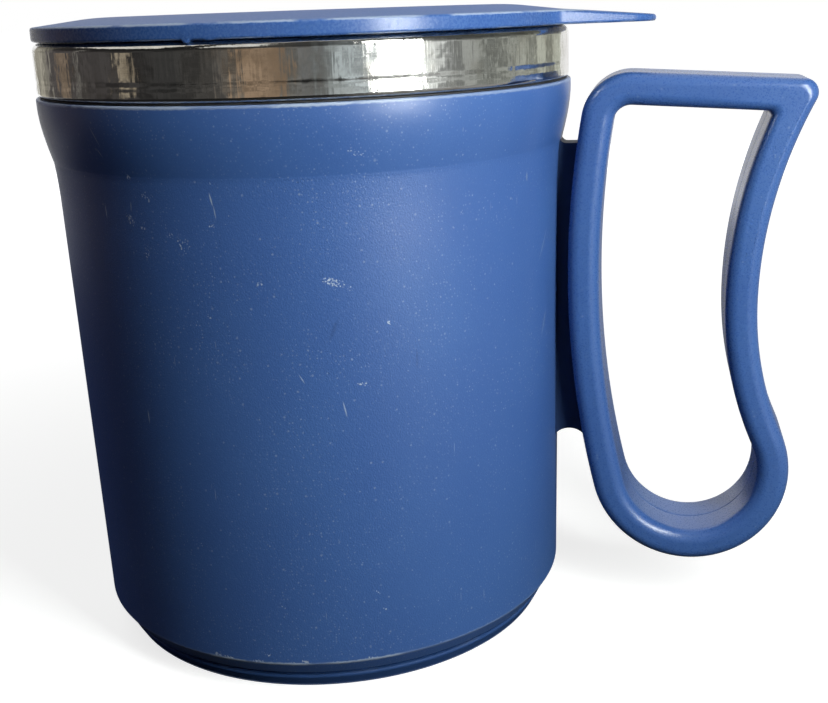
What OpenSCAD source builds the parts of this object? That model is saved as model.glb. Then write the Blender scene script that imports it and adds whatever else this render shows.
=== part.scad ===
// Insulated coffee mug with a pressed-in lid and a strip handle made of two halves.
// Millimetres, +Z up. The origin is on the mug's axis, on the plane it stands on.
// The handle points along +X, and its halves meet in the plane y = 0.

/* [Outer shell] */
// Radius of the lip at the top of the shell
lip_r = 43.5; // [41:0.1:48]
// Height of the lip above the table
lip_z = 90.1; // [84:0.1:110]
// Height of the upright band below the lip
lip_band = 1; // [0.5:0.1:2]
// Rounding of the lip's edge
lip_edge = 0.25; // [0.1:0.05:0.4]
// Height from the crease under the flare up to the lip
flare_h = 10.1; // [7:0.1:14]
// How far the flare stands out from the crease
flare_step = 1.58; // [0.8:0.02:2.4]
// Slope of the flare just above the crease
flare_slope = 0.27; // [0.15:0.01:0.4]
// Height of the shallow hollow below the crease
hollow_h = 8; // [5:0.1:12]
// How far the hollow draws in below the crease
hollow_step = 0.42; // [0.2:0.02:0.8]
// Slope of the hollow just below the crease
hollow_slope = 0.1; // [0.05:0.01:0.14]
// How far the wall draws in from the hollow down to its lower edge
wall_taper = 1.1; // [0.4:0.05:2]
// Height of the wall's lower edge above the table
wall_edge_z = 5.7; // [4.8:0.1:7]
// How far the shell draws in below that edge
edge_draw = 1.45; // [0.8:0.05:1.8]
// Thickness of the shell
shell_wall = 2; // [1.6:0.1:2.4]
// Height of the collar that stands up inside the steel band
collar_h = 6; // [5:0.1:7]
// Thickness of that collar
collar_wall = 1.8; // [1.2:0.1:2.4]

/* [Base cover] */
// How far the foot stands in from the wall's lower edge
foot_step = 3.2; // [2.6:0.1:5]
// Width of the ring that the mug stands on
foot_w = 4.5; // [3:0.1:8]
// Depth of the hollow inside that ring
foot_recess = 0.8; // [0.4:0.1:1.2]
// Height of the cover's edge
cover_edge_h = 2.5; // [2:0.1:3]
// How far the cover's edge stands in from the shell above it
cover_inset = 0.4; // [0:0.05:0.8]
// Thickness of the cover's floor
cover_floor = 2; // [1.4:0.1:2.6]
// Width of the open groove between the cover and the shell
groove_w = 0.9; // [0.5:0.1:1.2]
// Depth of that groove
groove_d = 0.8; // [0.5:0.1:1.1]
// Width of the ledge that bears on the shell
ledge_w = 0.5; // [0.3:0.1:0.9]
// Height of the ring that locates the cover inside the shell
cover_ring_h = 5; // [3:0.1:6]
// Thickness of that ring
cover_ring_wall = 1.6; // [1.2:0.1:2.2]

/* [Steel liner] */
// Thickness of the sheet
sheet = 0.6; // [0.4:0.05:0.8]
// Height of the polished band
band_h = 8.1; // [7.6:0.1:12]
// How far the band stands in from the lip
band_inset = 0.25; // [0:0.05:0.6]
// Rounding of the band's upper edge
shoulder_r = 1.3; // [1.2:0.1:2.8]
// Rounding of the band's turned-in lower edge
curl_r = 0.75; // [0.7:0.05:1.2]
// Width of the flat that the turned-in edge rests on
curl_flat = 0.3; // [0.2:0.05:0.5]
// Height of the rolled line above the band's lower edge
bead_z = 2.2; // [1.8:0.1:4]
// Depth of that line
bead_d = 0.08; // [0.05:0.01:0.2]
// Width of the rim, from the mouth to the band
rim_w = 6.6; // [6:0.1:8]
// Rounding of the rim at the mouth
mouth_roll = 1.6; // [1.2:0.1:2.2]
// How far the cup narrows from its mouth to its floor
cup_taper = 3.4; // [1:0.1:6]
// Height of the cup's floor above the table
cup_floor_z = 9.5; // [8.5:0.1:14]
// Rounding between the cup's wall and its floor
cup_corner = 8; // [4:0.5:14]

/* [Insulation and gasket] */
// Gap between the foam and the walls round it
foam_gap = 0.15; // [0.1:0.05:0.4]
// Drop from the lip to the top of the foam
foam_drop = 1.5; // [1:0.1:6]
// Thickness of the gasket's foot, which keeps the steel off the lip
gasket_foot = 0.25; // [0.2:0.05:0.8]
// How far the gasket's foot stands in from the band
gasket_inset = 0.4; // [0.2:0.05:0.7]
// Thickness of the gasket's sleeve
gasket_wall = 0.5; // [0.4:0.05:0.7]
// Height of the gasket's sleeve
gasket_h = 4; // [3:0.1:5]
// Clearance between pieces that are pressed together
press_gap = 0.05; // [0.02:0.01:0.1]

/* [Lid] */
// Height of the lid's upright rim
lid_rim_h = 2.15; // [1.6:0.05:3]
// How far the lid's rim stands in from the steel band
lid_inset = 0.05; // [0:0.05:0.5]
// Rise of the lid's crown above its rim
lid_rise = 1.2; // [0.6:0.05:2.5]
// Radius of the flat on top of the lid
lid_flat_r = 33.6; // [28:0.1:38]
// Thickness of the lid over its plug
lid_wall = 1.7; // [1.2:0.1:2.2]
// Gap between the lid and the steel rim
lid_gap = 0.15; // [0.1:0.05:0.4]
// Rounding of the lid's edges
lid_round = 0.4; // [0.2:0.05:0.6]
// How far the thumb tab reaches beyond the lid's rim
tab_reach = 13.8; // [10:0.1:18]
// Thickness of the thumb tab at its tip
tab_tip = 1; // [0.8:0.05:1.5]
// Radius of the tab's round end
tab_end_r = 6; // [4:0.5:9]
// Angle between each side of the tab and its middle line
tab_taper = 27; // [15:1:40]
// Rounding where the tab leaves the rim
tab_root = 4; // [2:0.5:6]

/* [Plug and seal] */
// Gap between the plug and the mouth of the cup
plug_gap = 1.6; // [1.2:0.1:2]
// Depth of the plug below the lid
plug_h = 10.4; // [9.4:0.1:16]
// Thickness of the plug's wall and floor
plug_wall = 1.6; // [1.2:0.1:2.2]
// Bevel of the plug's lower edge
plug_bevel = 0.6; // [0.3:0.1:1]
// Height of the groove for the seal
seal_h = 3; // [2.4:0.1:3.6]
// Depth of that groove
seal_groove = 1; // [0.7:0.1:1.3]
// Height of that groove above the plug's floor
seal_z = 3.2; // [2.4:0.1:4]
// Clearance between the seal and what it moves along
seal_gap = 0.12; // [0.08:0.01:0.2]
// Height of each of the seal's two lips
seal_lip = 0.8; // [0.5:0.05:1]

/* [Handle loop] */
// Gap between the shell's wall and the handle's inner leg
leg_gap = 2; // [1.2:0.1:5]
// Bowing radius of the inner leg
leg_bow = 150; // [120:1:300]
// Drop from the crease to the middle of the inner leg's bow
leg_drop = 22; // [18:0.5:28]
// Inside radius of the round lower end
loop_r = 11.1; // [10:0.1:13]
// Drop from the crease to the centre of that round end
loop_drop = 54.4; // [50:0.1:58]
// Clear width of the loop at the waist of its outer leg
waist_w = 20.1; // [18:0.1:22]
// Drop from the crease to that waist
waist_drop = 26; // [22:0.5:30]
// Bowing radius of the outer leg above its waist
waist_bow = 78; // [60:1:120]
// How far the inside corner reaches out beyond the waist
corner_out = 6.3; // [5:0.1:7.5]
// Slope of the top bar, in degrees
bar_slope = 3.5; // [0:0.1:8]
// Inside rounding where the top bar turns into the inner leg
bar_round = 2.7; // [2:0.1:5]
// Rounding of the pointed corner
tip_round = 2.2; // [1.4:0.1:3]
// Rounding of the inside corner
nook_round = 0.7; // [0.4:0.05:1]

/* [Handle section] */
// Thickness of the handle's strip
strip_t = 5.1; // [4.8:0.1:6.5]
// Width of the handle across both halves
strip_w = 14.4; // [12:0.2:20]
// Rounding of the strip's edges
strip_round = 2; // [1:0.1:2.3]
// Thickness of the strip's side walls
strip_wall = 1.5; // [1.1:0.1:1.7]
// Thickness of the strip's faces
face_wall = 1.8; // [1.4:0.1:2.4]
// Bevel along the seam between the halves
seam_bevel = 0.25; // [0.1:0.05:0.4]
// Diameter of the pins that join the halves
pin_d = 1.9; // [1.4:0.1:2.2]
// Length that each pin stands out of the front half
pin_l = 3; // [2:0.1:4]
// Wall round each pin's socket
boss_wall = 1.1; // [0.8:0.1:1.2]
// Clearance of each pin in its socket
pin_gap = 0.05; // [0.03:0.01:0.1]

/* [Web] */
// Thickness of the web between the shell and the handle
web_t = 4.4; // [3:0.1:6]
// Drop from the crease to the web's upper edge
web_top_drop = 0.1; // [0.1:0.1:4]
// Drop from the crease to the top of the arch under the web
web_arch_drop = 49; // [40:0.1:51]
// How far the arch runs into the wall and the leg
web_arch_bite = 0.8; // [0.4:0.1:1.2]
// Clearance of the web's tongue in the handle
tongue_gap = 0.12; // [0.08:0.01:0.25]

/* [Hidden] */
$fn = 128;
blue = [0.24, 0.38, 0.62];
steel = [0.74, 0.74, 0.71];
rubber = [0.12, 0.12, 0.13];
foam = [0.93, 0.9, 0.78];
// Steps along one arc of a profile, of a small rounding, and of each stretch of the handle
arc_steps = 6;
round_steps = 4;
leg_steps = 10;
loop_steps = 22;
bow_steps = 8;
bar_steps = 4;
// Depth by which one shape is sunk into another of the same piece
sink = 0.8;

function polar(c, r, a) = c + r * [cos(a), sin(a)];
function arc(c, r, a0, a1, n) = [for (i = [0 : n]) polar(c, r, a0 + (a1 - a0) * i / n)];
function curve(p0, p1, p2, p3, n) = [
    for (i = [0 : n])
        let (t = i / n, u = 1 - t)
            u ^ 3 * p0 + 3 * u ^ 2 * t * p1 + 3 * u * t ^ 2 * p2 + t ^ 3 * p3
];
function flip(list) = [for (i = [len(list) - 1 : -1 : 0]) list[i]];
// Direction from a to b in degrees, from 0 to 360
function heading(a, b) = (atan2(b.y - a.y, b.x - a.x) + 360) % 360;

// Shell
crease_z = lip_z - flare_h;
hollow_z = crease_z - hollow_h;
crease_r = lip_r - flare_step;
wall_high_r = crease_r - hollow_step;
wall_low_r = wall_high_r - wall_taper;
wall_lean = wall_taper / (hollow_z - wall_edge_z);
function wall_r(z) = wall_low_r + wall_lean * (z - wall_edge_z);

// Base cover
foot_r = wall_low_r - foot_step;
shell_foot_r = wall_low_r - edge_draw;
shell_foot_z = cover_edge_h + groove_w;
cover_edge_r = shell_foot_r - cover_inset;
ledge_r = cover_edge_r - groove_d;
cover_ring_r = ledge_r - ledge_w;
cover_ring_z = shell_foot_z + cover_ring_h;
cover_top_z = foot_recess + cover_floor;

// Steel liner
band_r = lip_r - band_inset;
band_z = lip_z + gasket_foot;
rim_z = band_z + band_h;
mouth_r = band_r - rim_w;
cup_r = mouth_r - cup_taper;
roll_z = rim_z - mouth_roll;
corner_z = cup_floor_z + cup_corner;
cup_lean = atan(cup_taper / (roll_z - corner_z));
function cup_wall_r(z) = mouth_r - (roll_z - z) * tan(cup_lean);

// Gasket and collar, inside the band
sleeve_r = band_r - curl_r - curl_flat - press_gap;
collar_r = sleeve_r - gasket_wall - press_gap;
collar_in_r = collar_r - collar_wall;
collar_z = lip_z + collar_h;

// Lid, plug and seal
lid_r = band_r - lid_inset;
lid_z = rim_z + lid_gap;
lid_rim_z = lid_z + lid_rim_h;
lid_top_z = lid_rim_z + lid_rise;
tab_r = lid_r + tab_reach;
tab_end_x = tab_r - tab_end_r;
// Directions along one side of the tab and square to it, and that side's distance from the axis
tab_along = [cos(tab_taper), -sin(tab_taper)];
tab_out = [sin(tab_taper), cos(tab_taper)];
tab_off = tab_end_x * tab_out.x + tab_end_r;
plug_r = mouth_r - plug_gap;
plug_top_z = lid_top_z - lid_wall;
plug_z = lid_z - plug_h;
groove_r = plug_r - seal_groove;
groove_low_z = plug_z + seal_z;
groove_high_z = groove_low_z + seal_h;

// Centres of the handle's arcs, as [x, z] in its plane
leg_z = crease_z - leg_drop;
leg_x = wall_r(leg_z) + leg_gap + strip_t;
leg_c = [leg_x + leg_bow, leg_z];
loop_z = crease_z - loop_drop;
loop_c = [leg_c.x - sqrt((leg_bow - loop_r) ^ 2 - (loop_z - leg_z) ^ 2), loop_z];
waist_x = leg_x + waist_w;
waist_z = crease_z - waist_drop;
waist_c = [waist_x + waist_bow, waist_z];
// Below its waist, the outer leg bows so that it runs smoothly into the round end
pinch_x = waist_x - loop_c.x;
pinch_z = waist_z - loop_z;
low_bow = (pinch_x ^ 2 + pinch_z ^ 2 - loop_r ^ 2) / (2 * (loop_r - pinch_x));
low_c = [waist_x + low_bow, waist_z];
// Inside corner, and the directions along the top bar and from it into the loop
corner = [
    waist_x + corner_out,
    waist_z + sqrt(waist_bow ^ 2 - (waist_bow - corner_out) ^ 2)
];
bar_dir = [-cos(bar_slope), sin(bar_slope)];
bar_in = [-sin(bar_slope), -cos(bar_slope)];
bar_up = 90 - bar_slope;
// Point at depth n below the top bar's inner side and at distance d from c
function under_bar(c, d, n) = let (
    start = corner + bar_in * n,
    b = bar_dir * (start - c)
) start + bar_dir * (sqrt(b ^ 2 - (start - c) * (start - c) + d ^ 2) - b);
turn_c = under_bar(leg_c, leg_bow - bar_round, bar_round);
nook_c = under_bar(waist_c, waist_bow + nook_round, nook_round);
tip_in = tip_round - strip_t;
tip_c = under_bar(waist_c, waist_bow + tip_in, tip_in);
half_w = strip_w / 2;
channel_w = half_w - face_wall;
// Places of the pins that join the halves, along the middle of the strip
strip_mid = strip_t / 2;
loop_mid_r = loop_r + strip_mid;
bar_mid = (nook_c - bar_in * nook_round + turn_c - bar_in * bar_round) / 2;
low_pin_angles = [225, 315];
pin_places = concat(
    [for (a = low_pin_angles) polar(loop_c, loop_mid_r, a)],
    [
        [waist_x + strip_mid, waist_z],
        bar_mid - bar_in * strip_mid,
        tip_c + bar_in * (strip_mid - tip_round)
    ]
);
boss_d = pin_d + 2 * pin_gap + 2 * boss_wall;

// Web
web_top_z = crease_z - web_top_drop;
web_arch_z = crease_z - web_arch_drop;
leg_out_x = leg_c.x - sqrt((leg_bow + strip_t) ^ 2 - (leg_z - web_arch_z) ^ 2);
web_arch_r = (leg_out_x - wall_r(web_arch_z)) / 2 + web_arch_bite;
web_arch_x = (leg_out_x + wall_r(web_arch_z)) / 2;
web_low_z = web_arch_z - web_arch_r;

// Side of the shell from its lower edge up to its lip
function shell_side() = let (
    start = [wall_high_r, hollow_z],
    crease = [crease_r, crease_z],
    lip = [lip_r, lip_z - lip_band],
    low_third = hollow_h / 3,
    high_third = (flare_h - lip_band) / 3,
    hollow = curve(
        start, start + [wall_lean, 1] * low_third,
        crease - [hollow_slope, 1] * low_third, crease, arc_steps
    ),
    flare = curve(
        crease, crease + [flare_slope, 1] * high_third,
        lip - [0, high_third], lip, arc_steps
    )
) concat([[wall_low_r, wall_edge_z]], hollow, [for (i = [1 : arc_steps]) flare[i]]);

// Inner side of the shell from its collar down to the base cover's ring, drawn in by gap
function shell_inside(top_z, gap) = [
    [min(collar_in_r, crease_r - shell_wall) - gap, top_z],
    [crease_r - shell_wall - gap, crease_z],
    [wall_high_r - shell_wall - gap, hollow_z],
    [wall_r(cover_ring_z) - shell_wall - gap, cover_ring_z + gap]
];

// One side of the cup's sheet, from the middle of its floor up to its rim.
// Depth d is 0 on the inside and the sheet's thickness on the outside.
function cup_side(d) = concat(
    [[0, cup_floor_z - d]],
    arc([cup_r - cup_corner, corner_z], cup_corner + d, -90, -cup_lean, arc_steps),
    arc([mouth_r + mouth_roll, roll_z], mouth_roll - d, 180 - cup_lean, 90, arc_steps)
);

// One side of the band's sheet, from the rim down to its turned-in edge
function band_side(d) = concat(
    arc([band_r - shoulder_r, rim_z - shoulder_r], shoulder_r - d, 90, 0, arc_steps),
    d > 0 ? [] : [
        [band_r, band_z + bead_z + 2 * bead_d],
        [band_r - bead_d, band_z + bead_z],
        [band_r, band_z + bead_z - 2 * bead_d]
    ],
    arc([band_r - curl_r, band_z + curl_r], curl_r - d, 0, -90, round_steps),
    [[band_r - curl_r - curl_flat, band_z + d]]
);

module steel_liner() {
    color(steel)
        rotate_extrude()
            polygon(concat(cup_side(0), band_side(0), flip(band_side(sheet)), flip(cup_side(sheet))));
}

module rim_gasket() {
    foot_out_r = band_r - gasket_inset;
    color(rubber)
        rotate_extrude()
            polygon([
                [sleeve_r - gasket_wall, lip_z], [foot_out_r, lip_z],
                [foot_out_r, band_z], [sleeve_r, band_z],
                [sleeve_r, lip_z + gasket_h], [sleeve_r - gasket_wall, lip_z + gasket_h]
            ]);
}

module outer_shell() {
    color(blue)
        union() {
            shell_wall_ring();
            web_plate();
        }
}

module shell_wall_ring() {
    inner_foot_r = cover_ring_r + press_gap;
    rotate_extrude()
        polygon(concat(
            [[inner_foot_r, shell_foot_z], [shell_foot_r, shell_foot_z]],
            shell_side(),
            [[lip_r, lip_z - lip_edge], [lip_r - lip_edge, lip_z]],
            [[collar_r, lip_z], [collar_r, collar_z], [collar_in_r, collar_z]],
            shell_inside(lip_z, 0),
            [[inner_foot_r, cover_ring_z]]
        ));
}

// Plate in the handle's plane: the web, and the tongue that enters the handle's inner leg
module web_plate() {
    difference() {
        web_block(web_t, 0);
        handle_cylinder(leg_c, leg_bow + strip_wall + tongue_gap);
        handle_cylinder([web_arch_x, web_low_z], web_arch_r);
        // The plate ends inside the shell's wall
        translate([0, 0, wall_edge_z])
            cylinder(r1 = wall_low_r - sink, r2 = crease_r - sink, h = crease_z - wall_edge_z);
    }
}

module web_block(thickness, gap) {
    translate([0, -thickness / 2, web_low_z - gap])
        cube([leg_x, thickness, web_top_z - web_low_z + 2 * gap]);
}

module handle_cylinder(c, r) {
    depth = 2 * strip_w;
    translate([c.x, depth / 2, c.y])
        rotate([90, 0, 0])
            cylinder(r = r, h = depth);
}

module foam_insulation() {
    top_z = lip_z - foam_drop;
    outside = shell_inside(top_z, foam_gap);
    ring_in_r = cover_ring_r - cover_ring_wall - foam_gap;
    cup = [for (p = cup_side(sheet + foam_gap)) if (p.y < top_z) p];
    color(foam)
        rotate_extrude()
            polygon(concat(
                cup,
                [[cup_wall_r(top_z) + sheet + foam_gap, top_z]],
                outside,
                [[ring_in_r, cover_ring_z + foam_gap], [ring_in_r, cover_top_z], [0, cover_top_z]]
            ));
}

module base_cover() {
    color(blue)
        rotate_extrude()
            polygon([
                [0, foot_recess], [foot_r - foot_w - foot_recess, foot_recess],
                [foot_r - foot_w, 0], [foot_r, 0],
                [cover_edge_r, cover_edge_h], [ledge_r, cover_edge_h],
                [ledge_r, shell_foot_z], [cover_ring_r, shell_foot_z],
                [cover_ring_r, cover_ring_z], [cover_ring_r - cover_ring_wall, cover_ring_z],
                [cover_ring_r - cover_ring_wall, cover_top_z], [0, cover_top_z]
            ]);
}

// Pairs of points, one on the loop's inner side and one on its outer side, round the handle
function strip_pairs(c, r_in, r_out, a0, a1, b0, b1, n) = [
    for (i = [0 : n - 1])
        let (t = i / n)
            [polar(c, r_in, a0 + (a1 - a0) * t), polar(c, r_out, b0 + (b1 - b0) * t)]
];
function leg_pairs() = let (a = heading(leg_c, turn_c), b = heading(leg_c, loop_c))
    strip_pairs(leg_c, leg_bow, leg_bow + strip_t, a, b, a, b, leg_steps);
function loop_pairs() = let (a = heading(leg_c, loop_c), b = heading(loop_c, low_c) + 360)
    strip_pairs(loop_c, loop_r, loop_r + strip_t, a, b, a, b, loop_steps);
function low_pairs() = let (a = heading(low_c, loop_c))
    strip_pairs(low_c, low_bow, low_bow - strip_t, a, 180, a, 180, bow_steps);
function high_pairs() = strip_pairs(
    waist_c, waist_bow, waist_bow - strip_t,
    180, heading(waist_c, nook_c), 180, heading(waist_c, tip_c), bow_steps
);
function tip_pairs() = let (
    inner = arc(nook_c, nook_round, heading(nook_c, waist_c) - 360, bar_up, bow_steps),
    outer = arc(tip_c, tip_round, heading(tip_c, waist_c) - 360, bar_up, bow_steps)
) [for (i = [0 : bow_steps]) [inner[i], outer[i]]];
function bar_pairs() = let (
    a = polar(nook_c, nook_round, bar_up),
    b = polar(tip_c, tip_round, bar_up),
    a_end = polar(turn_c, bar_round, bar_up),
    b_end = polar(turn_c, bar_round + strip_t, bar_up)
) [
    for (i = [1 : bar_steps - 1])
        let (t = i / bar_steps)
            [a + (a_end - a) * t, b + (b_end - b) * t]
];
function turn_pairs() = let (a = heading(leg_c, turn_c))
    strip_pairs(turn_c, bar_round, bar_round + strip_t, bar_up, a, bar_up, a, arc_steps);
function handle_pairs() = concat(
    leg_pairs(), loop_pairs(), low_pairs(), high_pairs(), tip_pairs(), bar_pairs(), turn_pairs()
);

// Section of one half: [side, distance from that side, distance from the seam]
function half_section() = let (
    edge = half_w - strip_round,
    bend = arc([strip_round, edge], strip_round, 180, 90, round_steps)
) concat(
    [[0, seam_bevel, 0], [0, 0, seam_bevel]],
    [for (p = bend) [0, p.x, p.y]],
    [for (p = flip(bend)) [1, p.x, p.y]],
    [[1, 0, seam_bevel], [1, seam_bevel, 0], [1, strip_wall, 0], [1, strip_wall, channel_w]],
    [[0, strip_wall, channel_w], [0, strip_wall, 0]]
);
function strip_point(pair, s) = let (
    across = (pair[1] - pair[0]) / norm(pair[1] - pair[0]),
    p = s[0] == 0 ? pair[0] + across * s[1] : pair[1] - across * s[1]
) [p.x, -s[2], p.y];

// Hollow half of the strip, on the side of the seam that faces -Y
module half_strip() {
    pairs = handle_pairs();
    section = half_section();
    n = len(pairs);
    m = len(section);
    polyhedron(
        points = [for (pair = pairs) for (s = section) strip_point(pair, s)],
        faces = [
            for (i = [0 : n - 1])
                for (j = [0 : m - 1])
                    let (k = (i + 1) % n, l = (j + 1) % m)
                        for (f = [[i * m + j, k * m + l, i * m + l], [i * m + j, k * m + j, k * m + l]])
                            f
        ]
    );
}

module across_half(place, d, from, length) {
    translate([place.x, -from, place.y])
        rotate([90, 0, 0])
            cylinder(d = d, h = length);
}

// Half of the handle with its bosses and with the slot for the web's tongue
module handle_half() {
    difference() {
        union() {
            half_strip();
            for (place = pin_places)
                across_half(place, boss_d, 0, channel_w + sink);
        }
        difference() {
            web_block(web_t + 2 * tongue_gap, tongue_gap);
            handle_cylinder(leg_c, leg_bow + strip_wall);
        }
    }
}

module handle_front() {
    color(blue)
        union() {
            handle_half();
            for (place = pin_places)
                across_half(place, pin_d, -pin_l, pin_l + sink);
        }
}

module handle_rear() {
    color(blue)
        difference() {
            mirror([0, 1, 0])
                handle_half();
            for (place = pin_places)
                across_half(place, pin_d + 2 * pin_gap, -pin_l - sink, pin_l + 2 * sink);
        }
}

module lid_cover() {
    color(blue)
        union() {
            lid_disc();
            thumb_tab();
        }
}

module lid_disc() {
    recess_r = plug_r + press_gap;
    flank_up = 90 - atan(lid_rise / (lid_r - lid_flat_r));
    rotate_extrude()
        polygon(concat(
            [[0, plug_top_z], [recess_r, plug_top_z], [recess_r, lid_z]],
            arc([lid_r - lid_round, lid_z + lid_round], lid_round, -90, 0, round_steps),
            arc([lid_r - lid_round, lid_rim_z - lid_round], lid_round, 0, flank_up, round_steps),
            [[lid_flat_r, lid_top_z], [0, lid_top_z]]
        ));
}

// Tab that continues the lid's flank and thins towards its tip
module thumb_tab() {
    slope = atan((lid_rim_h - tab_tip) / tab_reach);
    difference() {
        translate([0, 0, lid_z])
            linear_extrude(lid_rim_h)
                tab_outline();
        translate([lid_r, -lid_r, lid_rim_z])
            rotate([0, slope, 0])
                cube([2 * tab_reach, 2 * lid_r, lid_rim_h]);
    }
}

// Tongue whose sides run together into a round end
module tab_outline() {
    start_x = plug_r + sink;
    start_y = (tab_off - start_x * tab_out.x) / tab_out.y;
    tangent = [tab_end_x, 0] + tab_end_r * tab_out;
    polygon([
        [start_x, -start_y], [tangent.x, -tangent.y],
        [tangent.x, tangent.y], [start_x, start_y]
    ]);
    translate([tab_end_x, 0])
        circle(tab_end_r);
    for (side = [0, 1])
        mirror([0, side])
            tab_root_fillet([start_x, start_y]);
}

// Concave rounding between the lid's rim and one side of the tab
module tab_root_fillet(start) {
    off = tab_off + tab_root;
    centre = off * tab_out + sqrt((lid_r + tab_root) ^ 2 - off ^ 2) * tab_along;
    difference() {
        polygon([start, centre - tab_root * tab_out, centre, centre * norm(start) / norm(centre)]);
        translate(centre)
            circle(tab_root);
    }
}

module lid_plug() {
    wall_in_r = plug_r - plug_wall;
    shelf_z = groove_high_z + plug_wall;
    color(blue)
        rotate_extrude()
            polygon([
                [0, plug_z], [plug_r - plug_bevel, plug_z], [plug_r, plug_z + plug_bevel],
                [plug_r, groove_low_z], [groove_r, groove_low_z],
                [groove_r, groove_high_z], [plug_r, groove_high_z],
                [plug_r, plug_top_z], [wall_in_r, plug_top_z],
                [wall_in_r, shelf_z], [wall_in_r - seal_groove, shelf_z],
                [wall_in_r - seal_groove, plug_z + plug_wall], [0, plug_z + plug_wall]
            ]);
}

// Ring with two lips that reach out to the cup's wall
module lid_seal() {
    in_r = groove_r + seal_gap;
    low_z = groove_low_z + seal_gap;
    high_z = groove_high_z - seal_gap;
    reach_r = cup_wall_r(groove_low_z) - seal_gap;
    root_r = plug_r + seal_gap;
    color(rubber)
        rotate_extrude()
            polygon([
                [in_r, low_z], [reach_r, low_z],
                [reach_r, low_z + seal_lip / 2], [root_r, low_z + seal_lip],
                [root_r, high_z - seal_lip], [reach_r, high_z - seal_lip / 2], [reach_r, high_z],
                [in_r, high_z]
            ]);
}

steel_liner();
rim_gasket();
outer_shell();
foam_insulation();
base_cover();
handle_front();
handle_rear();
lid_cover();
lid_plug();
lid_seal();
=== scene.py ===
"""Looks of the insulated coffee mug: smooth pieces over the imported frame, finishes and studio."""

import logging
from abc import ABC, abstractmethod
from collections.abc import Sequence
from dataclasses import dataclass, field
from enum import Enum
from functools import reduce
from math import atan, atan2, cos, degrees, pi, radians, sin, sqrt, tan, tau

import bmesh
import bpy
from mathutils import Matrix, Vector


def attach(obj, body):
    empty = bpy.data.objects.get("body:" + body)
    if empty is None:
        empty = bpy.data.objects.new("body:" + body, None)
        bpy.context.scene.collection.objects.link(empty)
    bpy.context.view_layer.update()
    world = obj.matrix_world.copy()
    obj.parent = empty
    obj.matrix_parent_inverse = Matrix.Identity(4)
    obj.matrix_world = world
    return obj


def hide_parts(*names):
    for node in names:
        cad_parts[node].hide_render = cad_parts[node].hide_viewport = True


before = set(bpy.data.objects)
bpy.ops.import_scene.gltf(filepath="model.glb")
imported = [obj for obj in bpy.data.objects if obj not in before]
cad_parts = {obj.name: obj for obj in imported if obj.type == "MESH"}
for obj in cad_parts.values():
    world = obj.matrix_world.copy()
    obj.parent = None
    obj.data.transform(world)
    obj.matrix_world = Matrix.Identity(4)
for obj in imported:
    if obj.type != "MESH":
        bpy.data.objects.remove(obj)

LOG = logging.getLogger("mug")
ROUND_STEPS = 5
FINE_STEPS, BASE_STEPS, RING_STEPS = 288, 224, 192
MERGE_MM = 0.002
SMOOTH_DEGREES = 40.0
SEEN_RAYS = ("Is Camera Ray", "Is Glossy Ray", "Is Transmission Ray")

Point = tuple[float, float]
Corner = tuple[float, float, float]
Colour = tuple[float, float, float]
Piece = bpy.types.Object
Paint = bpy.types.Material
Socket = bpy.types.NodeSocket

BLUE: Colour = (0.041, 0.106, 0.32)
BLUE_LIGHT: Colour = (0.05, 0.126, 0.35)
BLUE_PALE: Colour = (0.42, 0.5, 0.62)
# Blue darkened as painted shade, used for the web in its narrow slot.
BLUE_PAINTED_SHADE: Colour = (0.02, 0.04, 0.1)


class Body(Enum):
    """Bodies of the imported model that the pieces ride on."""

    MUG = "mug"
    LID = "lid"
    SEAL = "seal_ring"


class Slot(Enum):
    """Material slots of the record."""

    SHELL = "shell_plastic"
    HANDLE = "handle_plastic"
    LID = "lid_plastic"
    STEEL = "liner_steel"
    RUBBER = "seal_rubber"
    FOAM = "insulation_foam"


class MarkKind(Enum):
    """Kinds of mark that use has left on the plastic, and how strongly each shows."""

    SCRATCH = 0.8
    SCUFF = 0.9
    SMEAR = 0.3


def mm(value: float) -> float:
    """Millimetres as metres."""
    return value * 0.001


def polar(centre: Point, radius: float, angle: float) -> Point:
    """Point at a radius and an angle in degrees from a centre."""
    turn = radians(angle)
    return (centre[0] + radius * cos(turn), centre[1] + radius * sin(turn))


def heading(start: Point, end: Point) -> float:
    """Direction from start to end in degrees, from 0 to 360."""
    return degrees(atan2(end[1] - start[1], end[0] - start[0])) % 360


def arc(centre: Point, radius: float, start: float, end: float, steps: int) -> list[Point]:
    """Points along an arc.

    Args:
        centre: Centre of the arc.
        radius: Its radius.
        start: Angle of its first point, in degrees.
        end: Angle of its last point, in degrees.
        steps: Number of stretches.

    Returns:
        One point more than there are stretches.
    """
    return [polar(centre, radius, start + (end - start) * i / steps) for i in range(steps + 1)]


def curve(p0: Point, p1: Point, p2: Point, p3: Point, steps: int) -> list[Point]:
    """Points along a cubic curve.

    Args:
        p0: Start.
        p1: First handle.
        p2: Second handle.
        p3: End.
        steps: Number of stretches.

    Returns:
        One point more than there are stretches.
    """
    points, ends = [], (p0, p1, p2, p3)
    for i in range(steps + 1):
        t = i / steps
        u = 1 - t
        shares = (u**3, 3 * u * u * t, 3 * u * t * t, t**3)
        points.append(tuple(sum(s * p[k] for s, p in zip(shares, ends)) for k in (0, 1)))
    return points


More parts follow.
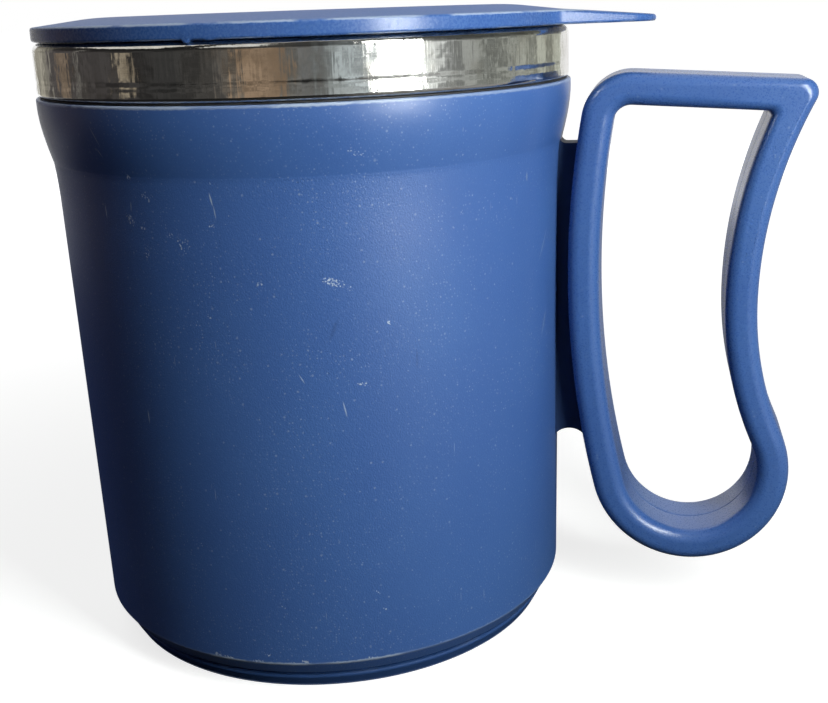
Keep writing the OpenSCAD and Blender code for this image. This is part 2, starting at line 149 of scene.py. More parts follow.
def rounded(corners: Sequence[Corner]) -> list[Point]:
    """A closed outline with its corners rounded.

    Args:
        corners: Points as x, y and the radius of the rounding, 0 for a sharp one.

    Returns:
        The points of the rounded outline.
    """
    points: list[Point] = []
    for i, (x, y, radius) in enumerate(corners):
        here = Vector((x, y))
        back = Vector(corners[i - 1][:2]) - here
        ahead = Vector(corners[(i + 1) % len(corners)][:2]) - here
        if radius == 0 or back.length == 0 or ahead.length == 0:
            points.append((x, y))
            continue
        back.normalize()
        ahead.normalize()
        half = back.angle(ahead) / 2
        reach = radius / tan(half)
        centre = here + (back + ahead).normalized() * (radius / sin(half))
        first, last = here + back * reach - centre, here + ahead * reach - centre
        sweep = first.angle_signed(last)
        turns = (Matrix.Rotation(-sweep * k / ROUND_STEPS, 2) for k in range(ROUND_STEPS + 1))
        points += [tuple(centre + turn @ first) for turn in turns]
    return points


class Bench:
    """Modelling steps that several pieces share."""

    @staticmethod
    def clear() -> None:
        """Leave edit mode with nothing selected."""
        if bpy.context.mode != "OBJECT":
            bpy.ops.object.mode_set(mode="OBJECT")
        bpy.ops.object.select_all(action="DESELECT")

    @staticmethod
    def begin(name: str) -> Piece:
        """Name the primitive that was just added and open it in edit mode.

        Args:
            name: Name of the piece.

        Returns:
            The piece's object.
        """
        piece = bpy.context.active_object
        piece.name = piece.data.name = name
        bpy.ops.object.mode_set(mode="EDIT")
        bpy.ops.mesh.select_all(action="SELECT")
        return piece

    @staticmethod
    def close(piece: Piece) -> Piece:
        """Merge the seams, turn the faces outwards and smooth the shading, with flats kept flat.

        Args:
            piece: Piece that is open in edit mode.

        Returns:
            The same piece, out of edit mode.
        """
        bpy.ops.mesh.select_all(action="SELECT")
        bpy.ops.mesh.remove_doubles(threshold=mm(MERGE_MM))
        bpy.ops.mesh.normals_make_consistent(inside=False)
        bpy.ops.object.mode_set(mode="OBJECT")
        bpy.ops.object.shade_smooth_by_angle(angle=radians(SMOOTH_DEGREES))
        bpy.ops.object.modifier_add(type="WEIGHTED_NORMAL")
        flats = piece.modifiers[-1]
        flats.mode, flats.keep_sharp = "FACE_AREA", True
        bpy.ops.object.modifier_apply(modifier=flats.name)
        return piece

    @staticmethod
    def sweep(name: str, path: Sequence[Corner], steps: int, angle: float = 360.0) -> Piece:
        """Model a piece by extruding a point along a path and spinning the path about Z.

        Args:
            name: Name of the piece.
            path: Points in metres.
            steps: Stretches round the axis.
            angle: How far the path is spun, in degrees.

        Returns:
            The finished piece.
        """
        Bench.clear()
        bpy.ops.mesh.primitive_plane_add(size=mm(1))
        piece = Bench.begin(name)
        bpy.ops.mesh.merge(type="CENTER")
        bpy.ops.transform.translate(value=path[0])
        for here, there in zip(path, path[1:]):
            step = {"value": tuple(b - a for a, b in zip(here, there))}
            bpy.ops.mesh.extrude_vertices_move(TRANSFORM_OT_translate=step)
        bpy.ops.mesh.select_all(action="SELECT")
        bpy.ops.mesh.spin(steps=steps, angle=radians(angle), center=(0, 0, 0), axis=(0, 0, 1))
        return Bench.close(piece)

    @staticmethod
    def turn(name: str, outline: Sequence[Point], steps: int) -> Piece:
        """Model a turned piece from its closed outline, as radius and height in millimetres."""
        return Bench.sweep(name, [(mm(r), 0, mm(z)) for r, z in (*outline, outline[0])], steps)

    @staticmethod
    def loft(name: str, rings: Sequence[Sequence[Vector]]) -> Piece:
        """Model a piece by extruding a ring of edges from one closed outline to the next.

        Args:
            name: Name of the piece.
            rings: Outlines with the same number of points, in millimetres.

        Returns:
            The finished piece.
        """
        Bench.clear()
        count = len(rings[0])
        bpy.ops.mesh.primitive_circle_add(vertices=count, radius=mm(40), fill_type="NOTHING")
        piece = Bench.begin(name)
        row = list(range(count))
        Bench.place(piece, row, rings[0])
        for ring in rings[1:]:
            bpy.ops.mesh.extrude_region_move(TRANSFORM_OT_translate={"value": (0, 0, 0)})
            mesh = bmesh.from_edit_mesh(piece.data)
            mesh.verts.ensure_lookup_table()
            row = [
                next(e.other_vert(v).index for e in v.link_edges if e.other_vert(v).select)
                for v in (mesh.verts[i] for i in row)
            ]
            Bench.place(piece, row, ring)
        return Bench.close(piece)

    @staticmethod
    def place(piece: Piece, row: Sequence[int], ring: Sequence[Vector]) -> None:
        """Move a row of vertices onto an outline.

        Args:
            piece: Piece that is open in edit mode.
            row: The vertices, in order.
            ring: Their places, in millimetres.
        """
        mesh = bmesh.from_edit_mesh(piece.data)
        mesh.verts.ensure_lookup_table()
        for i, place in zip(row, ring):
            mesh.verts[i].co = place * mm(1)
        bmesh.update_edit_mesh(piece.data)

    @staticmethod
    def hand_over(
        piece: Piece, body: Body, slot: Slot, finish: Paint, *nodes: str
    ) -> None:
        """Dress a finished piece and set it on the frame.

        Args:
            piece: The piece.
            body: Body that it rides on.
            slot: Slot of the record that its finish belongs to; not used.
            finish: Its material.
            nodes: Nodes that it stands for.
        """
        piece.data.materials.append(finish)
        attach(piece, body.value)
        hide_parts(*nodes)
        faces = len(piece.data.polygons)
        LOG.info("%s: %d faces on %s, for %s", piece.name, faces, body.value, ", ".join(nodes))


class NodeBoard:
    """Nodes of one material or of the world, with short calls that add and join them."""

    def __init__(
        self, owner: Paint | bpy.types.World, shader: str = "Principled BSDF"
    ) -> None:
        """Switch on the owner's nodes and find its main shader.

        Args:
            owner: Material or world.
            shader: Name of its main shader.
        """
        owner.use_nodes = True
        self.tree = owner.node_tree
        self.shader = self.tree.nodes[shader]
        coordinates = self.add("ShaderNodeTexCoord")
        self.place, self.facing = coordinates.outputs["Object"], coordinates.outputs["Normal"]

    def add(
        self, kind: str, inputs: dict[str | int, object] | None = None, **settings: object
    ) -> bpy.types.Node:
        """Add a node.

        Args:
            kind: Node type.
            inputs: Values or sockets by the name or number of the input.
            settings: The node's own settings.

        Returns:
            The node.
        """
        node = self.tree.nodes.new(kind)
        for key, value in settings.items():
            setattr(node, key, value)
        for key, value in (inputs or {}).items():
            self.feed(node.inputs[key], value)
        return node

    def feed(self, target: Socket, value: object) -> None:
        """Link a socket to an input, or set a plain value on it.

        Args:
            target: The input.
            value: Socket or plain value.
        """
        if isinstance(value, Socket):
            self.tree.links.new(value, target)
        else:
            target.default_value = value

    def paint(self, name: str, value: object) -> None:
        """Link a socket to an input of the main shader, or set a plain value on it."""
        self.feed(self.shader.inputs[name], value)

    def math(self, operation: str, a: object, b: object = 0.0) -> Socket:
        """Result of a Math node on two values."""
        return self.add("ShaderNodeMath", {0: a, 1: b}, operation=operation).outputs[0]

    def times(self, *values: object) -> Socket:
        """Product of the values."""
        return reduce(lambda a, b: self.math("MULTIPLY", a, b), values)

    def plus(self, a: object, b: object) -> Socket:
        """Sum of two values."""
        return self.math("ADD", a, b)

    def minus(self, a: object, b: object) -> Socket:
        """Difference of two values."""
        return self.math("SUBTRACT", a, b)

    def largest(self, values: Sequence[Socket]) -> Socket:
        """Largest of the values."""
        return reduce(lambda a, b: self.math("MAXIMUM", a, b), values)

    def fade(
        self, value: Socket, start: float, end: float, low: float = 0.0, high: float = 1.0
    ) -> Socket:
        """A value eased from low to high between start and end.

        Args:
            value: Value to ease.
            start: Where it is at its low result.
            end: Where it is at its high result.
            low: Result up to start.
            high: Result from end on.

        Returns:
            The eased value.
        """
        ends = {"Value": value, "From Min": start, "From Max": end, "To Min": low, "To Max": high}
        return self.add("ShaderNodeMapRange", ends, interpolation_type="SMOOTHSTEP").outputs[0]

    def noise(self, size: float, detail: float = 2.0, place: Socket | None = None) -> Socket:
        """Soft noise with features of a size in millimetres."""
        fields = {"Vector": place or self.place, "Scale": 1 / mm(size), "Detail": detail}
        return self.add("ShaderNodeTexNoise", fields).outputs[0]

    def ragged(self, size: float, detail: float, width: float) -> Socket:
        """Height in metres, made uneven by noise of a size and by a width in millimetres."""
        off = self.times(self.minus(self.noise(size, detail), 0.5), mm(width))
        return self.plus(self.height(), off)

    def stretch(self, turn: Vector, scale: Vector, place: Socket | None = None) -> Socket:
        """Coordinates turned by angles in degrees and then scaled.

        Args:
            turn: Angles about the three axes.
            scale: Scales along the three axes.
            place: Coordinates to start from, or the piece's own.

        Returns:
            The new coordinates.
        """
        angles = tuple(radians(a) for a in turn)
        fields = {"Vector": place or self.place, "Rotation": angles, "Scale": tuple(scale)}
        return self.add("ShaderNodeMapping", fields, vector_type="POINT").outputs[0]

    def specks(
        self, spacing: float, radius: float, share: float, place: Socket | None = None,
        flat: bool = False,
    ) -> Socket:
        """Scattered dots, some fainter than others.

        Args:
            spacing: Mean distance of the places where one may be, in millimetres.
            radius: Radius of the largest ones, in millimetres.
            share: Share of the places that have one.
            place: Coordinates, or the piece's own.
            flat: Whether only the first two of them count.

        Returns:
            Up to 1 on a dot and 0 elsewhere.
        """
        fields = {"Vector": place or self.place, "Scale": 1 / mm(spacing)}
        cells = self.add("ShaderNodeTexVoronoi", fields, voronoi_dimensions="2D" if flat else "3D")
        lot = self.add("ShaderNodeSeparateColor", {"Color": cells.outputs["Color"]})
        reach = self.times(lot.outputs[1], radius / spacing)
        inside = self.minus(1.0, self.math("DIVIDE", cells.outputs["Distance"], reach))
        kept = self.fade(self.math("DIVIDE", lot.outputs[0], share), 1.0, 0.4)
        return self.times(self.fade(inside, 0.0, 0.5), kept)

    def blend(self, factor: Socket, a: Socket | Colour, b: Colour) -> Socket:
        """Colour that goes from a to b with a factor."""
        fields = {0: factor, 6: a if isinstance(a, Socket) else (*a, 1), 7: (*b, 1)}
        return self.add("ShaderNodeMix", fields, data_type="RGBA").outputs[2]

    def bump(
        self, height: Socket, strength: float, depth: float, under: Socket | None = None
    ) -> Socket:
        """Normal of a relief.

        Args:
            height: Height from 0 to 1.
            strength: How strongly it shows.
            depth: Depth of the relief in millimetres.
            under: Normal of a relief under this one.

        Returns:
            The normal.
        """
        fields = {"Height": height, "Strength": strength, "Distance": mm(depth)}
        node = self.add("ShaderNodeBump", fields)
        if under is not None:
            self.feed(node.inputs["Normal"], under)
        return node.outputs[0]

    def height(self) -> Socket:
        """Height above the table."""
        return self.add("ShaderNodeSeparateXYZ", {0: self.place}).outputs[2]

    def upward(self) -> Socket:
        """How far the surface faces up, from -1 to 1."""
        return self.add("ShaderNodeSeparateXYZ", {0: self.facing}).outputs[2]

    def angle(self, place: Socket | None = None) -> Socket:
        """Angle round the upright axis in radians, from -pi to pi."""
        axes = self.add("ShaderNodeSeparateXYZ", {0: place or self.place})
        return self.math("ARCTAN2", axes.outputs[1], axes.outputs[0])

    def length(self, place: Socket | None = None) -> Socket:
        """Distance from the origin."""
        fields = {0: place or self.place}
        return self.add("ShaderNodeVectorMath", fields, operation="LENGTH").outputs["Value"]

    def seen(self) -> Socket:
        """1 for rays from the camera, off gloss or through glass, and 0 for the rest."""
        rays = self.add("ShaderNodeLightPath").outputs
        return self.largest([rays[name] for name in SEEN_RAYS])

    def wrap(self, radius: float) -> Socket:
        """Coordinates along and up a round wall of a radius in millimetres."""
        along = self.times(self.angle(), mm(radius))
        return self.add("ShaderNodeCombineXYZ", {0: along, 1: self.height()}).outputs[0]


@dataclass(frozen=True)
class Mark:
    """One mark on the wall: its angle round the axis, its height, its size and its tilt."""

    kind: MarkKind
    angle: float
    height: float
    length: float
    width: float
    tilt: float
    weight: float = 1.0


@dataclass(frozen=True)
class RubbedEdge:
    """An edge at one height that rubbing has made paler, most of all between some angles."""

    height: float
    width: float
    share: float
    pale: float
    spans: tuple[Point, ...] = ()
    rest: float = 0.3


@dataclass(frozen=True)
class Finish(ABC):
    """Finish of a piece, whose material carries its name."""

    name: str

    def material(self) -> Paint:
        """Build the material.

        Returns:
            The new material.
        """
        material = bpy.data.materials.new(self.name)
        self.apply(NodeBoard(material))
        return material

    @abstractmethod
    def apply(self, board: NodeBoard) -> None:
        """Add the nodes of the finish to a board."""


@dataclass(frozen=True)
class MouldedPlastic(Finish):
    """Moulded blue plastic with its grain, its uneven tone and what use has done to it; some pieces
    also get painted shade towards the bottom.
    """

    roughness: float
    grain: float
    grain_depth: float
    gloss: float
    colour: Colour = BLUE
    light: Colour = BLUE_LIGHT
    pale: Colour = BLUE_PALE
    mottle: float = 26.0
    relief: float = 0.6
    dust: tuple[Corner, Corner] = ((0.6, 0.15, 0.7), (1.2, 0.24, 0.5))
    dust_weight: float = 0.2
    hair: Corner = (1.1, 0.09, 0.3)
    hair_turns: tuple[Corner, ...] = ((20, 35, 10), (70, -15, 120))
    hair_stretch: float = 0.07
    hair_weight: float = 0.35
    patch: float = 14.0
    patch_weight: Point = (0.06, 0.24)
    edge_patch: float = 7.0
    edge_down: Point = (-0.97, -0.75)
    span_soft: float = 0.03
    scuff_grain: float = 0.3
    worn_rough: float = 0.2
    dull_top: float = 0.0
    smooth_above: float | None = None
    smooth_soft: float = 0.3
    smooth_by: float = 0.06
    smooth_relief: float = 0.35
    # Painted shade towards the bottom: where it starts, how strongly it blends in, and how dark it
    # gets.
    painted_shade_below: float | None = None
    painted_shade_blend: Point = (0.12, 0.55)
    painted_shade_dark: float = 0.25
    smear_dark: float = 0.45
    wall_radius: float = 41.5
    edges: tuple[RubbedEdge, ...] = ()
    marks: tuple[Mark, ...] = ()

    def apply(self, board: NodeBoard) -> None:
        """Paint the plastic with its tone, wear, gloss and grain.

        Args:
            board: The material's nodes.
        """
        fine = board.noise(self.grain, 3.0)
        worn = self.wear(board)
        rough = board.fade(fine, 0.3, 0.7, self.roughness - 0.05, self.roughness + 0.05)
        rough = board.plus(rough, board.times(worn, self.worn_rough))
        relief = fine
        if self.dull_top:
            rough = board.plus(rough, board.fade(board.upward(), 0.6, 0.95, 0.0, self.dull_top))
        if self.smooth_above is not None:
            ends = mm(self.smooth_above), mm(self.smooth_above + self.smooth_soft)
            rough = board.minus(rough, board.fade(board.height(), *ends, 0.0, self.smooth_by))
            relief = board.times(fine, board.fade(board.height(), *ends, 1.0, self.smooth_relief))
        board.paint("Base Color", self.tone(board, fine, worn))
        board.paint("Roughness", rough)
        board.paint("Specular IOR Level", self.gloss)
        board.paint("Normal", board.bump(relief, self.relief, self.grain_depth))

    def tone(self, board: NodeBoard, fine: Socket, worn: Socket) -> Socket:
        """Colour of the plastic.

        Args:
            board: The material's nodes.
            fine: Its grain.
            worn: Where it is scratched or rubbed pale.

        Returns:
            The colour with its wear and smears, and painted shade towards the bottom where that is
            asked for.
        """
        uneven = board.fade(board.noise(self.mottle, 4.0), 0.35, 0.7, 0.0, 0.65)
        uneven = board.plus(uneven, board.fade(fine, 0.4, 0.7, 0.0, 0.5))
        colour = board.blend(worn, board.blend(uneven, self.colour, self.light), self.pale)
        smears = self.marked(board, MarkKind.SMEAR)
        if smears is not None:
            colour = board.blend(smears, colour, tuple(c * self.smear_dark for c in self.colour))
        # Painted shade: below a ragged height the colour darkens towards the bottom edge.
        if self.painted_shade_below is not None:
            ends = mm(self.painted_shade_below), mm(self.painted_shade_below * 0.3)
            painted_shade_blend = board.fade(board.ragged(3.0, 4.0, 2.0), *ends, *self.painted_shade_blend)
            colour = board.blend(painted_shade_blend, colour, tuple(c * self.painted_shade_dark for c in self.colour))
        return colour

    def wear(self, board: NodeBoard) -> Socket:
        """Where the plastic is scratched or rubbed pale.

        Args:
            board: The material's nodes.

        Returns:
            1 where it is pale and 0 where it is sound.
        """
        wall = board.wrap(self.wall_radius) if self.marks else None
        small, large = (board.specks(*dots, wall, wall is not None) for dots in self.dust)
        thick = board.fade(board.noise(self.patch), 0.35, 0.65, *self.patch_weight)
        layers = [board.times(small, thick), board.times(large, self.dust_weight)]
        for turn in self.hair_turns:
            place = board.stretch(Vector(turn), Vector((1, 1, self.hair_stretch)))
            layers.append(board.times(board.specks(*self.hair, place), self.hair_weight))
        layers += [self.rubbed(board, edge) for edge in self.edges]
        marks = (self.marked(board, kind) for kind in (MarkKind.SCRATCH, MarkKind.SCUFF))
        return board.largest(layers + [mark for mark in marks if mark is not None])

    def rubbed(self, board: NodeBoard, edge: RubbedEdge) -> Socket:
        """How pale one rubbed edge is; faces that look straight down stay sound.

        Args:
            board: The material's nodes.
            edge: The edge.

        Returns:
            0 away from the edge, up to its paleness on it.
        """
        off = board.minus(board.ragged(0.8, 3.0, edge.width), mm(edge.height))
        near = board.fade(board.math("ABSOLUTE", off), mm(edge.width), mm(edge.width * 0.2))
        turned = board.fade(board.upward(), *self.edge_down)
        lack = edge.share * 0.35
        broken = board.fade(board.noise(self.edge_patch, 5.0), 0.62 - lack, 0.75 - lack)
        pale = board.times(near, turned, broken, edge.pale)
        if not edge.spans:
            return pale
        angle, inside = board.angle(), []
        for first, last in edge.spans:
            middle, half = radians(first + last) / 2, radians(last - first) / 2
            away = board.math("ABSOLUTE", board.minus(angle, middle))
            ends = half + self.span_soft, half - self.span_soft
            inside.append(board.fade(away, *ends, edge.rest, 1.0))
        return board.times(pale, board.largest(inside))

    def marked(self, board: NodeBoard, kind: MarkKind) -> Socket | None:
        """Where the marks of one kind are.

        Args:
            board: The material's nodes.
            kind: Kind of mark.

        Returns:
            1 on a mark and 0 elsewhere, or None if there are no such marks.
        """
        wall, inside = None, []
        for mark in (m for m in self.marks if m.kind is kind):
            wall = wall or board.wrap(self.wall_radius)
            fields = {
                "Vector": wall,
                "Location": (mm(radians(mark.angle) * self.wall_radius), mm(mark.height), 0),
                "Rotation": (0, 0, radians(mark.tilt)),
                "Scale": (mm(mark.length / 2), mm(mark.width / 2), 1),
            }
            own = board.add("ShaderNodeMapping", fields, vector_type="TEXTURE").outputs[0]
            inside.append(board.fade(board.length(own), 1.2, 0.4, 0.0, mark.weight))
        if not inside:
            return None
        total = board.largest(inside)
        if kind is MarkKind.SCUFF:
            thin = board.times(board.minus(total, 1.0), 0.25)
            broken = board.plus(board.noise(self.scuff_grain), thin)
            return board.fade(broken, 0.5, 0.62, 0.0, kind.value)
        return board.times(total, kind.value)


@dataclass(frozen=True)
class RolledSteel(Finish):
    """Polished stainless sheet with the fine lines of its rolling and faint dents."""

    bright: Colour
    dull: Colour
    roughness: float
    wall_radius: float = 43.0
    line: float = 0.16
    line_stretch: float = 0.012
    rib: float = 0.9
    rib_stretch: float = 0.07
    rib_depth: float = 0.05
    film: float = 5.0
    film_rough: float = 0.06
    dent: float = 3.0
    dent_depth: float = 0.16
    speck: Corner = (0.7, 0.16, 0.3)
    speck_depth: float = 0.03

    def apply(self, board: NodeBoard) -> None:
        """Paint the steel with its film, lines and dents.

        Args:
            board: The material's nodes.
        """
        wall, level = board.wrap(self.wall_radius), Vector((0, 0, 0))
        along = board.stretch(level, Vector((self.line_stretch, 1, 1)), wall)
        upright = board.stretch(level, Vector((1, self.rib_stretch, 1)), wall)
        lines, ribs = board.noise(self.line, place=along), board.noise(self.rib, place=upright)
        film = board.fade(board.noise(self.film, 4.0), 0.45, 0.7)
        board.paint("Base Color", board.blend(film, self.bright, self.dull))
        board.paint("Metallic", 1.0)
        rough = board.fade(lines, 0.3, 0.7, self.roughness * 0.75, self.roughness * 1.25)
        board.paint("Roughness", board.plus(rough, board.times(film, self.film_rough)))
        dents = board.bump(board.noise(self.dent), 0.6, self.dent_depth)
        chatter = board.bump(ribs, 0.6, self.rib_depth, dents)
        marks = board.plus(board.specks(*self.speck), lines)
        board.paint("Normal", board.bump(marks, 0.08, self.speck_depth, chatter))


@dataclass(frozen=True)
class SealRubber(Finish):
    """Matt black rubber with a slight bloom."""

    colour: Colour
    bloom: Colour
    cloud: float = 3.0
    roughness: Point = (0.55, 0.75)
    grain: float = 0.3
    grain_depth: float = 0.02

    def apply(self, board: NodeBoard) -> None:
        """Paint the rubber with its bloom.

        Args:
            board: The material's nodes.
        """
        cloud = board.fade(board.noise(self.cloud, 4.0), 0.4, 0.75)
        board.paint("Base Color", board.blend(cloud, self.colour, self.bloom))
        board.paint("Roughness", board.fade(cloud, 0.0, 1.0, *self.roughness))
        board.paint("Normal", board.bump(board.noise(self.grain), 0.2, self.grain_depth))


@dataclass(frozen=True)
class PouredFoam(Finish):
    """Cream foam with open cells where it was cut, each cell painted darker towards its middle as
    shade.
    """

    colour: Colour
    # Colour in the middle of each cell: painted shade.
    cell: Colour
    cell_size: float = 0.9
    cell_depth: float = 0.25
    mottle: float = 2.0
    roughness: Point = (0.85, 0.98)

    def apply(self, board: NodeBoard) -> None:
        """Paint the foam with its cells.

        Args:
            board: The material's nodes.
        """
        fields = {"Vector": board.place, "Scale": 1 / mm(self.cell_size)}
        cells = board.add("ShaderNodeTexVoronoi", fields)
        depth = board.fade(cells.outputs["Distance"], 0.1, 0.55)
        # Painted shade: darker towards the middle of each cell, where the bump is deepest.
        board.paint("Base Color", board.blend(depth, self.cell, self.colour))
        board.paint("Roughness", board.fade(board.noise(self.mottle), 0.3, 0.7, *self.roughness))
        board.paint("Normal", board.bump(depth, 0.6, self.cell_depth))


MARKS: dict[MarkKind, tuple[tuple[float, ...], ...]] = {
    MarkKind.SCUFF: (
        (-111.8, 80.2, 2.2, 1.2, -46), (-107.8, 77.5, 3.4, 1.9, -13, 0.7),
        (-112.8, 74.0, 2.9, 1.6, -37, 1.1), (-109.7, 72.9, 2.2, 0.9, -16, 0.9),
        (-109.1, 69.4, 4.4, 2.2, -90, 0.6), (-103.5, 72.3, 2.0, 1.0, 7, 0.75),
        (-100.5, 71.0, 4.2, 2.6, -50, 0.8), (-93.0, 79.8, 1.4, 0.6, 24, 0.9),
        (-93.8, 73.7, 2.0, 0.6, 1, 0.8), (-96.5, 60.5, 2.2, 0.9, 12, 0.9),
        (-85.4, 65.3, 1.8, 1.2, -36, 0.7), (-71.5, 65.5, 4.6, 1.6, -20, 1.1),
        (-68.6, 64.5, 3.0, 1.1, -28, 0.8), (-60.8, 58.8, 1.1, 0.8, -42, 1.3),
        (-66.7, 50.2, 2.4, 0.8, -15), (-66.1, 83.2, 3.6, 1.2, -18, 0.7),
        (-103.7, 24.7, 1.0, 0.5, -40), (-86.0, 15.5, 1.5, 0.5, -54), (-65.9, 16.9, 2.5, 0.5, -38),
        (-64.4, 14.0, 1.2, 0.7, -45), (-102.4, 6.0, 2.0, 1.2, -4, 1.3),
        (-99.6, 5.9, 2.6, 0.9, 0, 1.2), (-92.8, 5.9, 2.6, 0.9, 0, 1.2),
        (-90.1, 7.2, 0.9, 0.8, 40, 1.3), (-85.2, 5.9, 1.6, 1.0, 0, 1.2),
        (-82.3, 6.0, 2.0, 1.1, 0, 1.3), (-68.0, 5.9, 2.4, 0.8, 0, 1.1),
    ),
    MarkKind.SCRATCH: (
        (-120.2, 74.9, 2.3, 0.26, -90), (-112.3, 76.0, 1.5, 0.2, -98, 0.7),
        (-93.6, 77.4, 2.0, 0.24, -80), (-93.1, 75.6, 2.0, 0.18, -83, 0.7),
        (-70.5, 46.6, 2.6, 0.22, -79, 0.8), (-15.6, 65.3, 6.2, 0.2, -126, 0.6),
        (-15.2, 52.1, 5.6, 0.2, -115, 0.6), (-118.0, 85.8, 3.5, 0.18, -64, 0.7),
        (-117.8, 83.5, 1.7, 0.18, -56, 0.7), (-78.6, 51.5, 1.7, 0.18, -61, 0.7),
        (-24.1, 76.7, 1.5, 0.2, -86, 0.7), (-114.5, 44.1, 2.3, 0.24, -88),
    ),
    MarkKind.SMEAR: (
        (-71.8, 58.5, 3.8, 0.7, -113), (-55.2, 52.8, 3.4, 0.5, -92),
    ),
}
WALL_MARKS = tuple(Mark(kind, *row) for kind, rows in MARKS.items() for row in rows)


class Finishes:
    """The finishes of this mug, each built once."""

    def __init__(self) -> None:
        """Build every finish."""
        self.shell = MouldedPlastic(
            "blue_shell", 0.4, 0.24, 0.06, gloss=0.65, smooth_above=80.0,
            dust=((0.6, 0.17, 0.85), (2.0, 0.24, 0.7)), dust_weight=0.26,
            edges=(
                RubbedEdge(5.65, 0.4, 0.9, 0.8, ((-103.6, -81.4), (-77.3, -61.4))),
                RubbedEdge(89.9, 0.35, 0.8, 0.75, ((-140.0, -95.0), (-80.0, -55.0)), 0.5),
            ),
            marks=WALL_MARKS,
        ).material()
        # The base darkens towards the floor in painted shade.
        self.base = MouldedPlastic(
            "blue_base", 0.5, 0.2, 0.03, gloss=0.12, painted_shade_below=5.6,
            edges=(RubbedEdge(2.4, 0.25, 0.35, 0.12), RubbedEdge(0.1, 0.3, 0.7, 0.5)),
        ).material()
        # Painted shade: the web is coloured near-black blue for the shade in its narrow slot
        # between the wall and the handle.
        self.web = MouldedPlastic(
            "blue_web_painted_shade", 0.5, 0.2, 0.03, gloss=0.12, colour=BLUE_PAINTED_SHADE, light=BLUE_PAINTED_SHADE
        ).material()
        self.handle = MouldedPlastic("blue_handle", 0.3, 0.28, 0.04, gloss=0.65).material()
        self.lid = MouldedPlastic(
            "blue_lid", 0.27, 0.4, 0.012, gloss=0.5, dull_top=0.3,
            edges=(RubbedEdge(98.65, 0.2, 0.5, 0.6), RubbedEdge(100.67, 0.22, 0.8, 0.7)),
        ).material()
        self.steel = RolledSteel(
            "rolled_steel", (0.62, 0.61, 0.58), (0.5, 0.48, 0.44), roughness=0.09
        ).material()
        self.rubber = SealRubber(
            "black_rubber", (0.012, 0.012, 0.013), (0.03, 0.03, 0.032)
        ).material()
        self.foam = PouredFoam("cream_foam", (0.84, 0.78, 0.57), (0.6, 0.52, 0.33)).material()


